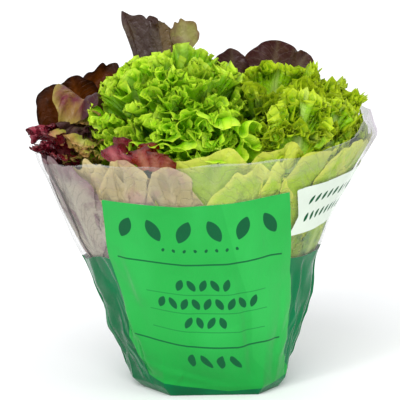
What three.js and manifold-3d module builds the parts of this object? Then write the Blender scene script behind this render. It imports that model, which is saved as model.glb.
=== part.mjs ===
// A pack of three living lettuces in one open film sleeve: a frilly green head in front, a toothed
// curly head on the right, and a red oak-leaf head on the left and behind them.
// Millimetres, +Z up. The origin is the middle of the flat base, and -Y is the front.
import * as THREE from 'three';
import { mergeVertices } from 'three/addons/utils/BufferGeometryUtils.js';
import Module from 'manifold-3d';

const wasm = await Module();
wasm.setup();

const radians = THREE.MathUtils.degToRad;
const { lerp, clamp } = THREE.MathUtils;
const vector = (a) => new THREE.Vector3(...a);

// ---------------------------------------------------------------- driving dimensions

const PACK_HEIGHT = 292;            // floor to the tip of the tallest red leaf
const FILM = 0.8;                   // wall of the sleeve, thicker than real film so that it is a solid
const GAP = 0.4;                    // left between a head and the film, and between two heads

// The sleeve's outer section at a few heights: how far it reaches to the left, to the right,
// and to the front and back. It flares up from a flat base, and leans in again at the top.
const SLEEVE_STATIONS = [
  { z: 0, left: 52, right: 62, deep: 56 },
  { z: 8, left: 62, right: 68, deep: 61 },
  { z: 22, left: 66, right: 72, deep: 65 },
  { z: 50, left: 76, right: 81, deep: 71 },
  { z: 76, left: 84, right: 88, deep: 76 },
  { z: 102, left: 95, right: 91, deep: 82 },
  { z: 147, left: 117, right: 109, deep: 94 },
  { z: 180, left: 131, right: 127, deep: 104 },
  { z: 202, left: 138, right: 140, deep: 108 },
  { z: 232, left: 136, right: 127, deep: 105 },
];

// The rim's height all round: level in front, standing up as an ear on the right, and
// higher behind. Angles are from +X, in degrees; width is how far a rise reaches.
const RIM_HEIGHT = 191;
const RIM_RISES = [
  { at: 5, width: 48, rise: 30 },
  { at: 95, width: 55, rise: 18 },
  { at: 190, width: 45, rise: -8 },
];
const SEAM_PINCH = 0.02;            // the welded side seams stand out by this share of the section
const SEAM_REACH = 7;               // degrees

// Each head: the point that its leaves grow from, and the dome that their edges reach.
const HEADS = {
  green: { heart: [-10, -8, 62], dome: [-22, -26, 180], radii: [66, 66, 95], salt: 3 },
  curly: { heart: [20, 0, 62], dome: [68, -13, 176], radii: [76, 77, 84], salt: 7 },
  red: { heart: [-34, 22, 62], dome: [-56, 34, 176], radii: [84, 68, 62], salt: 11 },
};
const FULLNESS = 2.3;               // a dome is fuller than an ellipsoid, for which this would be 2
const CORE_SHARE = 0.88;            // of a dome's radii that its crowded inner leaves fill on average
const CORE_RELIEF = 0.05;           // how far they stand out and lie back, as a share
const RELIEF_WAVES = 9;             // radians of relief for each radius

const REACH = 200;                  // from the middle to well past everything

// Where the heads press on each other inside the sleeve, seen from above.
const GREEN_RED = [[-34, 30], [-82, -10], [-78, -REACH]];
const GREEN_CURLY = [[-34, 30], [22, 30], [34, -20], [48, -60], [46, -REACH]];
const CURLY_RED = [[22, 30], [70, 62], [96, REACH]];
const SHOULDER = 190;               // height up to which the heads press flat on each other
const DOME_MARGIN = 7;              // a head keeps its neighbours this far off its dome

// ---------------------------------------------------------------- small helpers

// A repeatable number from 0 to 1 for the leaf's index and a salt.
function scatter(index, salt) {
  const s = Math.sin(index * 12.9898 + salt * 78.233) * 43758.5453;
  return s - Math.floor(s);
}

function indexed(points, faces) {
  const g = new THREE.BufferGeometry();
  g.setAttribute('position', new THREE.Float32BufferAttribute(points.flatMap((p) => p.toArray()), 3));
  g.setIndex(faces.flat());
  return g;
}

// A closed solid through level rings of points. A fan closes the first ring and another the last.
function lofted(rings, firstMiddle, lastMiddle) {
  const count = rings[0].length;
  const points = [...rings.flat(), firstMiddle, lastMiddle];
  const [first, last] = [points.length - 2, points.length - 1];
  const faces = [];
  for (let i = 0; i < count; i++) {
    const j = (i + 1) % count;
    for (let ring = 0; ring < rings.length - 1; ring++) {
      const [a, b] = [ring * count, (ring + 1) * count];
      faces.push([a + i, a + j, b + j, a + i, b + j, b + i]);
    }
    const end = (rings.length - 1) * count;
    faces.push([first, j, i], [last, end + i, end + j]);
  }
  return indexed(points, faces);
}

// How far a full dome of radius 1 reaches in the direction of the unit vector p.
function domeReach(p) {
  const sum = Math.abs(p.x) ** FULLNESS + Math.abs(p.y) ** FULLNESS + Math.abs(p.z) ** FULLNESS;
  return sum ** (-1 / FULLNESS);
}

// A full dome of radius 1, closed underneath in the same way. share(p) makes its surface
// stand out or lie back in the direction of the unit vector p.
function domeGeometry(turns, rings, share) {
  const g = new THREE.SphereGeometry(1, turns, rings).rotateX(Math.PI / 2);
  const at = g.attributes.position;
  const p = new THREE.Vector3();
  for (let i = 0; i < at.count; i++) {
    p.fromBufferAttribute(at, i);
    p.multiplyScalar(domeReach(p) * share(p));
    at.setXYZ(i, p.x, p.y, p.z);
  }
  return g;
}

const SAME_POINT = 1e-3;            // points closer than this are one

function solidOf(geometry) {
  const bare = geometry.index ? geometry.toNonIndexed() : geometry.clone();
  bare.deleteAttribute('normal');
  bare.deleteAttribute('uv');
  const merged = mergeVertices(bare, SAME_POINT);
  return new wasm.Manifold(new wasm.Mesh({
    numProp: 3,
    vertProperties: merged.attributes.position.array,
    triVerts: new Uint32Array(merged.index.array),
  }));
}

function geometryOf(solid) {
  const mesh = solid.getMesh();
  const g = new THREE.BufferGeometry();
  g.setAttribute('position', new THREE.Float32BufferAttribute(mesh.vertProperties, 3));
  g.setIndex(new THREE.Uint32BufferAttribute(mesh.triVerts, 1));
  const flat = g.toNonIndexed();
  flat.computeVertexNormals();
  return flat;
}

function joined(solids) {
  return solids.reduce((sum, s) => sum.add(s));
}

// The largest body of a solid, without loose scraps and with sealed hollows filled.
function largestBody(solid) {
  return solid.decompose().reduce((a, b) => (b.volume() > a.volume() ? b : a));
}

// ---------------------------------------------------------------- film sleeve

function sectionAt(z) {
  const at = SLEEVE_STATIONS;
  const i = clamp(at.findIndex((s) => s.z >= z), 1, at.length - 1);
  const [a, b] = [at[i - 1], at[i]];
  const t = clamp((z - a.z) / (b.z - a.z), 0, 1);
  return { left: lerp(a.left, b.left, t), right: lerp(a.right, b.right, t), deep: lerp(a.deep, b.deep, t) };
}

function turnBetween(a, b) {
  return Math.abs(((a - b + 540) % 360) - 180);
}

function rimHeight(degrees) {
  return RIM_RISES.reduce(
    (z, r) => z + r.rise * Math.exp(-((turnBetween(degrees, r.at) / r.width) ** 2)), RIM_HEIGHT);
}

// A point of the sleeve's surface, moved in by inset.
function sleevePoint(degrees, z, inset) {
  const { left, right, deep } = sectionAt(z);
  const seam = Math.min(turnBetween(degrees, 0), turnBetween(degrees, 180));
  const pinch = 1 + SEAM_PINCH * Math.exp(-((seam / SEAM_REACH) ** 2));
  const c = Math.cos(radians(degrees));
  const s = Math.sin(radians(degrees));
  const across = (c > 0 ? right : left) * pinch - inset;
  return new THREE.Vector3(across * c, (deep - inset) * s, z);
}

const TURNS = 52;                   // columns round the sleeve
const ROWS = [0, 0.042, 0.115, 0.26, 0.4, 0.53, 0.77, 0.94, 1];   // shares of the rim's height

// The wall's rings from floor to rim, moved in by inset.
function wallRings(inset, floor, above) {
  return ROWS.map((share) => Array.from({ length: TURNS }, (_, i) => {
    const degrees = (i * 360) / TURNS;
    return sleevePoint(degrees, lerp(floor, rimHeight(degrees) + above, share), inset);
  }));
}

function sleeveGeometry() {
  const outer = wallRings(0, 0, 0);
  const inner = wallRings(FILM, FILM, 0);
  return lofted([...outer, ...inner.reverse()], vector([0, 0, 0]), vector([0, 0, FILM]));
}

// Everything that a head may not fill: the film, and the space outside it up to the rim.
function outsideSleeve() {
  const floor = FILM + GAP;
  const inner = wallRings(floor, floor, GAP);
  const far = wallRings(-REACH, floor, GAP);
  const under = far[0].map((p) => vector([p.x, p.y, -REACH]));
  const rings = [under, ...far, ...inner.reverse()];
  return solidOf(lofted(rings, vector([0, 0, -REACH]), vector([0, 0, floor])));
}

// ---------------------------------------------------------------- cores of the heads

// The roots, stems and packed leaves inside the sleeve, as shares of the film's section.
const BUNDLE = [
  { z: 3, share: 0.9 },
  { z: 56, share: 0.9 },
  { z: 96, share: 0.78 },
  { z: 150, share: 0.84 },
  { z: 186, share: 0.88 },
  { z: 204, share: 0.66 },
];
const BUNDLE_TURNS = 24;

function bundleSolid() {
  const rings = BUNDLE.map(({ z, share }) => Array.from({ length: BUNDLE_TURNS }, (_, i) => {
    const p = sleevePoint((i * 360) / BUNDLE_TURNS, z, 0);
    return vector([p.x * share, p.y * share, z]);
  }));
  return solidOf(lofted(rings, vector([0, 0, BUNDLE[0].z]), vector([0, 0, BUNDLE.at(-1).z])));
}

// The crowded edges of the inner leaves: a dome whose surface stands out and lies back.
const DOME_TURNS = 24;
const DOME_RINGS = 13;

function domeSolid({ dome, radii, salt }) {
  const wave = (part, offset) => Math.sin(RELIEF_WAVES * part + offset);
  const share = (p) => {
    const crest = wave(p.x, salt) * wave(p.y, 2 * salt) + wave(p.z + p.x * p.y, 3 * salt);
    return CORE_SHARE + CORE_RELIEF * crest;
  };
  return solidOf(domeGeometry(DOME_TURNS, DOME_RINGS, share).scale(...radii).translate(...dome));
}

// ---------------------------------------------------------------- leaves

// The kinds of leaf. blade and width are the blade's length and full width; ruffle and waves
// are the height and number of the waves along its edge; lobes cut the edge in, as a share;
// round is how much shorter the blade is at its sides than at its tip, as a share; skew is how
// much longer one side is; blunt is 1 for a tip that is a half ellipse, and less for a broader
// one; across is the number of faces from side to side.
const FRILLY = { blade: 72, width: 100, ruffle: 8, waves: 4, lobes: 0.03, round: 0.25, across: 12 };
const CURLY = { blade: 68, width: 90, ruffle: 8, waves: 5, lobes: 0.11, round: 0.3, across: 12 };
const OAK = { blade: 66, width: 76, ruffle: 7, waves: 3, lobes: 0.08, round: 0.4, across: 8 };
const SMOOTH = { blade: 48, width: 44, ruffle: 2.5, waves: 1.5, lobes: 0.02, round: 0.3, across: 6 };
const KINDS = {
  frilly: { ...FRILLY, skew: 0, blunt: 0.6 },
  curly: { ...CURLY, skew: 0, blunt: 0.6 },
  oak: { ...OAK, skew: 0, blunt: 0.6 },
  smooth: { ...SMOOTH, skew: 0, blunt: 0.5 },
  folded: { ...SMOOTH, skew: 0.2, blunt: 0.25 },
};
const THICK = 2.2;                  // a leaf's thickness, more than a real one's so that it is a solid
const LOBES = 7;                    // lobes that a full circle of blade would have
const RUFFLE_GROWTH = 1.5;          // the ruffle grows towards the edge by this power
const FAN = radians(80);            // how far the blade spreads to each side
const STALK = 5;                    // half the width of a stalk
const CUP = 0.3;                    // how much a blade wraps round its head
const ROWS_OUT = [-0.5, 0.15, 0.45, 0.75, 1];   // from halfway up the stalk, at -0.5, to the edge, at 1

// The leaf's middle surface. u runs from -1 to 1 across it. out runs from -1 at the root to
// 0 where the blade starts, and to 1 at its edge.
function leafPoint(leaf, u, out) {
  const angle = u * FAN;
  const spread = Math.max(out, 0);
  const notch = leaf.lobes * (1 - Math.cos(LOBES * angle));
  const reach = spread * (1 - notch - leaf.round * u ** 4) * (1 - leaf.skew * u);
  const stalk = (leaf.length - leaf.blade) * Math.min(1 + out, 1);
  const along = stalk + leaf.blade * reach * Math.cos(angle) ** leaf.blunt;
  const side = u * STALK + (leaf.width / 2) * reach * Math.sin(angle);
  const { at, tangent } = leaf.midrib(along / leaf.length);
  const across = leaf.facing.clone().addScaledVector(tangent, -leaf.facing.dot(tangent)).normalize();
  const normal = new THREE.Vector3().crossVectors(across, tangent).normalize();
  const wave = leaf.ruffle * spread ** RUFFLE_GROWTH * Math.sin(Math.PI * leaf.waves * u + leaf.phase);
  const cup = (-CUP * side * side) / leaf.length;
  return at.addScaledVector(across, side).addScaledVector(normal, wave + cup);
}

function leafSolid(leaf) {
  const rows = ROWS_OUT.length;
  const columns = leaf.across + 1;
  const middle = ROWS_OUT.map(
    (out) => Array.from({ length: columns }, (_, i) => leafPoint(leaf, (2 * i) / leaf.across - 1, out)));
  const pick = (r, c) => middle[clamp(r, 0, rows - 1)][clamp(c, 0, columns - 1)];
  const face = (sign) => middle.flatMap((points, r) => points.map((p, c) => {
    const a = pick(r, c + 1).clone().sub(pick(r, c - 1));
    const b = pick(r + 1, c).clone().sub(pick(r - 1, c));
    return p.clone().addScaledVector(a.cross(b).normalize(), (sign * THICK) / 2);
  }));
  const points = [...face(1), ...face(-1)];
  const back = rows * columns;
  const faces = [];
  for (let r = 0; r < rows - 1; r++) {
    for (let c = 0; c < leaf.across; c++) {
      const [p, q] = [r * columns + c, (r + 1) * columns + c];
      faces.push([p, p + 1, q + 1, p, q + 1, q]);
      faces.push([back + p, back + q + 1, back + p + 1, back + p, back + q, back + q + 1]);
    }
  }
  const edge = [
    ...Array.from({ length: leaf.across }, (_, c) => c),
    ...Array.from({ length: rows - 1 }, (_, r) => r * columns + leaf.across),
    ...Array.from({ length: leaf.across }, (_, c) => back - 1 - c),
    ...Array.from({ length: rows - 1 }, (_, r) => (rows - 1 - r) * columns),
  ];
  edge.forEach((a, i) => {
    const b = edge[(i + 1) % edge.length];
    faces.push([a, back + a, back + b, a, back + b, b]);
  });
  return solidOf(indexed(points, faces));
}

// A leaf that grows from heart to tip, arching away from the line up. lift is how high the
// arch stands, and facing is the way that its blade spreads sideways.
function leafTo(kind, heart, tip, { lift, facing, phase, ...sizes }) {
  const [a, c] = [vector(heart), vector(tip)];
  const b = a.clone().lerp(c, 0.5).add(vector([0, 0, lift]));
  const curve = new THREE.QuadraticBezierCurve3(a, b, c);
  const midrib = (t) => ({ at: curve.getPoint(Math.min(t, 1)), tangent: curve.getTangent(Math.min(t, 1)) });
  return { ...KINDS[kind], ...sizes, phase, midrib, length: curve.getLength(), facing: vector(facing) };
}

const LEAVES = { green: 18, curly: 18, red: 10 };  // leaves in each rosette
const GOLDEN_TURN = 137.508;        // degrees from one leaf of a rosette to the next
const TURN_JITTER = 25;             // degrees
const TOPMOST = 4;                  // degrees from straight up to a rosette's innermost leaf
const LOWEST = 100;                 // degrees from straight up to its outermost leaf
const ARCH = 34;                    // how high the outermost leaf's midrib arches

// The leaves of one rosette, whose tips are spread over the head's dome from the top down.
function rosette(kind, { heart, dome, radii, salt }, count) {
  return Array.from({ length: count }, (_, i) => {
    const down = radians(lerp(TOPMOST, LOWEST, Math.sqrt(i / (count - 1))));
    const turn = radians(i * GOLDEN_TURN + TURN_JITTER * scatter(i, salt));
    const out = vector([Math.sin(down) * Math.cos(turn), Math.sin(down) * Math.sin(turn), Math.cos(down)]);
    const tip = out.multiplyScalar(domeReach(out)).multiply(vector(radii)).add(vector(dome));
    const facing = [-Math.sin(turn), Math.cos(turn), 0];
    const phase = 2 * Math.PI * scatter(i, salt + 1);
    return leafTo(kind, heart, tip.toArray(), { lift: ARCH * Math.sin(down), facing, phase });
  });
}

// The red head's single leaves, each from a place inside the head to its tip. First the smooth
// brown and dark ones that stand up above the others, from left to right.
const STANDING = [
  { kind: 'smooth', from: [-106, 8, 185], tip: [-122, 4, 240], facing: [0.95, 0.1, 0.3],
    blade: 40, width: 34, lift: 4, phase: 2.6 },
  { kind: 'smooth', from: [-92, 28, 190], tip: [-106, 26, 245], facing: [1, 0.1, 0.2],
    blade: 44, width: 37, lift: 0, phase: 5 },
  { kind: 'folded', from: [-112, 38, 184], tip: [-64, 44, 240], facing: [0.6, 0.1, -0.8],
    blade: 64, width: 43, lift: 0, phase: 0.8 },
  { kind: 'folded', from: [-26, 48, 200], tip: [-43, 60, PACK_HEIGHT], facing: [0.97, 0.1, -0.2],
    blade: 80, width: 38, lift: 0, phase: 0.4 },
  { kind: 'smooth', from: [-18, 50, 150], tip: [-13, 62, 284], facing: [1, 0, 0],
    blade: 46, width: 24, lift: 0, phase: 2 },
  { kind: 'smooth', from: [16, 54, 130], tip: [24, 66, 260], facing: [1, 0.2, 0],
    blade: 50, width: 26, lift: 0, phase: 1.2 },
  { kind: 'smooth', from: [40, 60, 130], tip: [62, 72, 267], facing: [1, 0.1, -0.1],
    blade: 66, width: 50, lift: 0, phase: 3.4 },
  { kind: 'smooth', from: [44, 60, 130], tip: [87, 76, 258], facing: [0.7, 0, -0.7],
    blade: 46, width: 24, lift: 0, phase: 1.9 },
];

// Then the leaf that bends over like a hood, and the frilled ones that hang out over the rim.
const OVERHANGING = [
  { kind: 'smooth', from: [-84, 12, 182], tip: [-108, -36, 207], facing: [0.92, -0.38, 0],
    blade: 88, width: 44, lift: 80, phase: 2.2 },
  { kind: 'oak', from: [-96, 0, 160], tip: [-141, -14, 206], facing: [0.5, -0.8, 0.3],
    blade: 50, width: 48, lift: 24, phase: 4.1 },
  { kind: 'oak', from: [-94, -10, 150], tip: [-134, -34, 198], facing: [0.7, -0.7, 0.3],
    blade: 52, width: 48, lift: 22, phase: 1.3 },
  { kind: 'oak', from: [-88, -22, 150], tip: [-118, -52, 198], facing: [0.8, -0.6, 0.2],
    blade: 52, width: 52, lift: 20, phase: 5.6 },
  { kind: 'oak', from: [-88, -14, 150], tip: [-100, -50, 214], facing: [0.8, -0.6, 0],
    blade: 60, width: 56, lift: 30, phase: 0.3 },
];

// ---------------------------------------------------------------- heads

const GROUNDS = {
  green: [...GREEN_RED, ...GREEN_CURLY.slice(1).reverse()],
  curly: [...GREEN_CURLY.slice(1), [REACH, -REACH], [REACH, REACH], ...CURLY_RED.slice(1).reverse()],
};

// The space inside the sleeve that a head may fill, as a prism over its ground.
function groundSolid(corners, height) {
  const outline = new THREE.Shape(corners.map((p) => new THREE.Vector2(...p)));
  return solidOf(new THREE.ExtrudeGeometry(outline, { depth: height, bevelEnabled: false }));
}

// All the space that a head may fill: its ground, and its own dome above it.
function claim(name, margin) {
  const { dome, radii } = HEADS[name];
  const over = domeGeometry(DOME_TURNS, DOME_RINGS, () => 1);
  over.scale(...radii.map((r) => r + DOME_MARGIN + margin)).translate(...dome);
  return groundSolid(GROUNDS[name], SHOULDER + margin).add(solidOf(over));
}

// A thin upright wall along the line from a to b, seen from above. Nothing grows in it.
function parting(a, b) {
  const [from, to] = [new THREE.Vector2(...a), new THREE.Vector2(...b)];
  const along = to.clone().sub(from);
  const g = new THREE.BoxGeometry(along.length() + 2 * GAP, 2 * GAP, SHOULDER);
  const middle = from.add(to).multiplyScalar(0.5);
  return solidOf(g.rotateZ(along.angle()).translate(middle.x, middle.y, SHOULDER / 2));
}

function partings() {
  return joined([GREEN_RED, GREEN_CURLY, CURLY_RED].flatMap(
    (line) => line.slice(1).map((p, i) => parting(line[i], p))));
}

function headBody(name, leaves) {
  return joined([bundleSolid(), domeSolid(HEADS[name]), ...leaves.map(leafSolid)]);
}

// Each head takes its own claim, and the red one takes what the other two leave.
function headSolids() {
  const empty = joined([outsideSleeve(), partings()]);
  const green = headBody('green', rosette('frilly', HEADS.green, LEAVES.green));
  const curly = headBody('curly', rosette('curly', HEADS.curly, LEAVES.curly));
  const red = headBody('red', [
    ...rosette('oak', HEADS.red, LEAVES.red),
    ...[...STANDING, ...OVERHANGING].map(({ kind, from, tip, ...rest }) => leafTo(kind, from, tip, rest)),
  ]);
  const besideGreen = empty.add(claim('green', GAP));
  const solids = {
    green: green.intersect(claim('green', 0)).subtract(empty),
    curly: curly.intersect(claim('curly', 0)).subtract(besideGreen),
    red: red.subtract(besideGreen.add(claim('curly', GAP))),
  };
  return Object.entries(solids).map(([name, solid]) => [name, largestBody(solid)]);
}

// ---------------------------------------------------------------- the pack

const MATERIALS = {
  film: new THREE.MeshStandardMaterial({
    color: 0x2c7a52, roughness: 0.25, metalness: 0, transparent: true, opacity: 0.6,
  }),
  green: new THREE.MeshStandardMaterial({ color: 0x7fae1f, roughness: 0.55, metalness: 0 }),
  curly: new THREE.MeshStandardMaterial({ color: 0x86a62a, roughness: 0.55, metalness: 0 }),
  red: new THREE.MeshStandardMaterial({ color: 0x56302a, roughness: 0.5, metalness: 0 }),
};

function part(name, geometry, material) {
  const mesh = new THREE.Mesh(geometry, material);
  mesh.name = name;
  return mesh;
}

const pack = new THREE.Group();
pack.add(part('film_sleeve', sleeveGeometry(), MATERIALS.film));
for (const [name, solid] of headSolids()) {
  pack.add(part(`${name}_head`, geometryOf(solid), MATERIALS[name]));
}

export default pack;
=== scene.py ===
# %% [markdown]
# # A pack of living lettuce
#
# Three young lettuces, still on their roots, stand in one flared film sleeve: a frilly green one in
# front, a toothed curly one on the right and a red oak-leaf one on the left and behind. The packed
# model holds their plain solids in the right place and at the right size. This lesson dresses them:
# a thin printed film, and real leaves that ruffle, fold and lean on each other.

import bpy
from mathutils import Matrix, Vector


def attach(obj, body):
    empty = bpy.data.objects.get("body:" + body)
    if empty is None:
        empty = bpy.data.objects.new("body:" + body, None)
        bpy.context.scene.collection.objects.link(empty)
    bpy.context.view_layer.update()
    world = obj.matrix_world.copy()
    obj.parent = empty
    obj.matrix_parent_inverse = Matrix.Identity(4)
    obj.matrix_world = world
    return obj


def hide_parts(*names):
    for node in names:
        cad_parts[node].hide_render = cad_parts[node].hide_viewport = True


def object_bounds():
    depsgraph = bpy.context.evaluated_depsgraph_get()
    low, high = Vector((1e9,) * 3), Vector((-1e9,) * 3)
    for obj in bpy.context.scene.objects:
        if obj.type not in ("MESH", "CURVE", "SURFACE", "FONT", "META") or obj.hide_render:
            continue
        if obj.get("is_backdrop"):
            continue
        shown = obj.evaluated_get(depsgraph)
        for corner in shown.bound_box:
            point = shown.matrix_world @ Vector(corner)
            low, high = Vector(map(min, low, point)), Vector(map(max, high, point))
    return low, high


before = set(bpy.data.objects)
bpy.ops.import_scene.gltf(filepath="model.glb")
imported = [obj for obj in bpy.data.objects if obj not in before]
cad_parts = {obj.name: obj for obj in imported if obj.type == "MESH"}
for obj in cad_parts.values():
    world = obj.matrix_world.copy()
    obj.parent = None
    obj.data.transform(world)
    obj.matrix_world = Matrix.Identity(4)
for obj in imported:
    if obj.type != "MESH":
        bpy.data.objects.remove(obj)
cad_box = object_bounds()
print("solids to dress:", sorted(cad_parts))

# %% [markdown]
# ## Units, chance and colour
#
# The sizes below are in millimetres, as on a drawing, and become metres as a mesh is made. Chance
# comes from one fixed rule, so the same lettuce grows on every run. Colours are written as a
# photograph gives them, from 0 to 255, and are changed to the linear light that shaders work in.

# %% Units, chance and colour
import math

import bpy
import numpy as np

MM = 0.001


def scatter(index, salt):
    """A number from 0 to 1 that looks random, and is the same for the same index and salt."""
    value = math.sin(index * 12.9898 + salt * 78.233) * 43758.5453
    return value - math.floor(value)


def paint(red, green, blue):
    """Photograph colour, 0 to 255, to linear colour with full opacity."""
    light = [c / 255 for c in (red, green, blue)]
    return (*[c / 12.92 if c < 0.04 else ((c + 0.055) / 1.055) ** 2.4 for c in light], 1)


def ease(value, low, high):
    """0 below low, 1 above high, and a smooth rise between them."""
    t = np.clip((value - low) / (high - low), 0, 1)
    return t * t * (3 - 2 * t)


print("a scattered number:", round(scatter(1, 1), 3), " a leaf green:", paint(113, 160, 17))

# %% [markdown]
# ## Camera
#
# The pack was photographed from a little above, nearly straight on, and from far enough away that
# its far side looks almost as large as its near side. A long lens from 1.5 m does the same.

# %% Camera
DISTANCE = 1.5                  # m
VIEW_ANGLE = math.radians(10)   # looking down
FIELD = 0.32                    # m that the picture shows across
AIM = (-0.0024, 0, 0.1475)

lens = bpy.data.cameras.new("camera")
lens.lens = lens.sensor_width * DISTANCE / FIELD
camera = bpy.data.objects.new("camera", lens)
bpy.context.collection.objects.link(camera)
camera.location = (
    AIM[0],
    AIM[1] - DISTANCE * math.cos(VIEW_ANGLE),
    AIM[2] + DISTANCE * math.sin(VIEW_ANGLE),
)
camera.rotation_euler = (math.pi / 2 - VIEW_ANGLE, 0, 0)
bpy.context.scene.camera = camera
print("lens:", round(lens.lens), "mm")

# %% [markdown]
# ## Light
#
# A grocery picture is lit softly from all sides. A bright sky gives the even light, and a wide sun
# from the upper left gives the leaves their modelling. A still wider one from the right lifts its
# shadows. A third, small and weak, gives the glints on film and wet leaves that a wide one can't.
# The plain view transform keeps the fresh greens.

# %% Light
scene = bpy.context.scene
scene.view_settings.view_transform = "Standard"

world = bpy.data.worlds.new("studio")
world.use_nodes = True
sky = world.node_tree.nodes["Background"]
sky.inputs["Color"].default_value = (0.96, 0.98, 1, 1)
sky.inputs["Strength"].default_value = 0.8
scene.world = world


def sun(name, strength, width, tilt, turn):
    """A sun whose light falls from tilt degrees off the vertical, turned from the front."""
    lamp = bpy.data.lights.new(name, "SUN")
    lamp.energy = strength
    lamp.angle = math.radians(width)
    holder = bpy.data.objects.new(name, lamp)
    holder.rotation_euler = (math.radians(tilt), 0, math.radians(turn))
    bpy.context.collection.objects.link(holder)


sun("key_light", 1.7, 40, 48, -16)
sun("fill_light", 0.8, 70, 62, 46)
sun("glint_light", 0.5, 9, 56, -34)
print("lights:", sorted(lamp.name for lamp in bpy.data.lights))

# %% [markdown]
# ## Floor
#
# The pack stands on white paper. A bare matt square that reaches far past the picture does for it.
# It belongs to the studio and not to the pack, so it is declared as stage.

# %% Floor
FLOOR = 12  # m from the middle to the floor's edge

floor_mesh = bpy.data.meshes.new("floor")
floor_corners = [(-FLOOR, -FLOOR, 0), (FLOOR, -FLOOR, 0), (FLOOR, FLOOR, 0), (-FLOOR, FLOOR, 0)]
floor_mesh.from_pydata(floor_corners, [], [(0, 1, 2, 3)])
floor = bpy.data.objects.new("floor", floor_mesh)
bpy.context.collection.objects.link(floor)
paper = bpy.data.materials.new("white_paper")
paper.use_nodes = True
paper_surface = paper.node_tree.nodes["Principled BSDF"]
paper_surface.inputs["Base Color"].default_value = (0.9, 0.9, 0.9, 1)
paper_surface.inputs["Roughness"].default_value = 0.8
floor_mesh.materials.append(paper)
floor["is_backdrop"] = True
print("floor:", 2 * FLOOR, "m wide")

# %% [markdown]
# ## The sleeve's shape
#
# The sleeve is two sheets of film welded along both sides. It flares from a small flat base to a
# wide mouth, and its section is nearly an ellipse. So one rule gives every point of it: how far it
# reaches to the left, the right and the depth at each height. The same rule tells the leaves
# where the film holds them in. Turns are in degrees from the front, and positive to the right.

# %% The sleeve's shape
STATION_HEIGHTS = [0, 8, 22, 50, 76, 102, 147, 180, 202, 232]
LEFT_REACH = [52, 62, 66, 76, 84, 95, 117, 131, 138, 136]
RIGHT_REACH = [62, 68, 72, 81, 88, 91, 109, 127, 140, 127]
DEEP_REACH = [56, 61, 65, 71, 76, 82, 94, 104, 108, 105]
RIM_HEIGHT = 191
RIM_RISES = [(95, 48, 30), (185, 55, 18), (280, 45, -8)]  # turn and width in degrees, rise in mm

HEIGHTS = np.arange(0, 260)
SOFTEN = np.hanning(15) / np.hanning(15).sum()


def softened(reaches):
    """The reaches at every millimetre of height, with the corners between stations rounded."""
    profile = np.interp(HEIGHTS, STATION_HEIGHTS, reaches)
    padded = np.pad(profile, 7, mode="edge")
    return np.where(HEIGHTS < 10, profile, np.convolve(padded, SOFTEN, "valid"))


LEFT, RIGHT, DEEP = (softened(r) for r in (LEFT_REACH, RIGHT_REACH, DEEP_REACH))


def reach(height):
    """How far the sleeve reaches at a height: left, right, deep."""
    return [np.interp(height, HEIGHTS, side) for side in (LEFT, RIGHT, DEEP)]


def apart(turn, other):
    """The angle between two turns, from 0 to 180."""
    return np.abs((turn - other + 540) % 360 - 180)


def rim_height(turn):
    """The height of the film's free edge at a turn."""
    rises = [rise * np.exp(-((apart(turn, at) / width) ** 2)) for at, width, rise in RIM_RISES]
    return RIM_HEIGHT + sum(rises)


print("rim in front:", round(float(rim_height(0))), "mm, on the right:", round(float(rim_height(95))), "mm")

# %% [markdown]
# ## The folded base
#
# The bottom of a sleeve is folded flat, like that of a paper bag. So near the ground its outline
# is no ellipse but a polygon: the film runs straight from corner to corner. The corners are given
# as turns, and a straight line between two of them is one short formula. It fades out above.

# %% The folded base
# Turn of each corner, and its reach as a share of the section's.
BASE_CORNERS = [(-158, 1.03), (-112, 1.08), (-66, 1.0), (-28, 1.03),
                (40, 1.09), (68, 1.05), (110, 1.06), (142, 1.09)]
CORNERS_FADE = (5, 45)  # mm of height


def cornered(turn, height):
    """How much the base's corners widen the section, and the flat sides between them narrow it."""
    factor = 1.0
    for (start, near), (end, far) in zip(BASE_CORNERS, BASE_CORNERS[1:] + BASE_CORNERS[:1]):
        wide = (end - start) % 360
        along = (turn - start) % 360
        opening = math.radians(wide)
        swing = np.radians(np.minimum(along, wide))
        straight = math.sin(opening) / (np.sin(opening - swing) / near + np.sin(swing) / far)
        factor = np.where(along <= wide, straight, factor)
    return 1 + (factor - 1) * (1 - ease(height, *CORNERS_FADE))


def on_sleeve(turn, height, out=0.0):
    """A point of the sleeve, or one that stands out from it by some millimetres."""
    swing = np.radians(turn)
    left, right, deep = reach(height)
    factor = cornered(turn, height)
    across = np.where(np.sin(swing) > 0, right, left)
    x = (across * factor + out) * np.sin(swing)
    y = -(deep * factor + out) * np.cos(swing)
    return np.stack([x, y, height + 0 * swing], -1)


print("a corner of the base:", on_sleeve(40, 0).round(1), "mm")

# %% [markdown]
# ## From grids of points to a mesh
#
# Film and leaves are all sheets, and a sheet is a grid of points with faces between neighbours.
# Each point also carries a few numbers for the shader to read, such as how near it is to the
# leaf's edge. Many small sheets become one object, each with its own tile of the texture map.

# %% From grids to a mesh
TILE = 0.98  # of a tile is used, so that the sheets don't touch in the map


def grid_faces(rows, columns, first):
    """The four-cornered faces of a grid whose points are numbered from first."""
    index = first + np.arange(rows * columns).reshape(rows, columns)
    corners = [index[:-1, :-1], index[:-1, 1:], index[1:, 1:], index[1:, :-1]]
    return np.stack(corners, -1).reshape(-1, 4)


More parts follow.
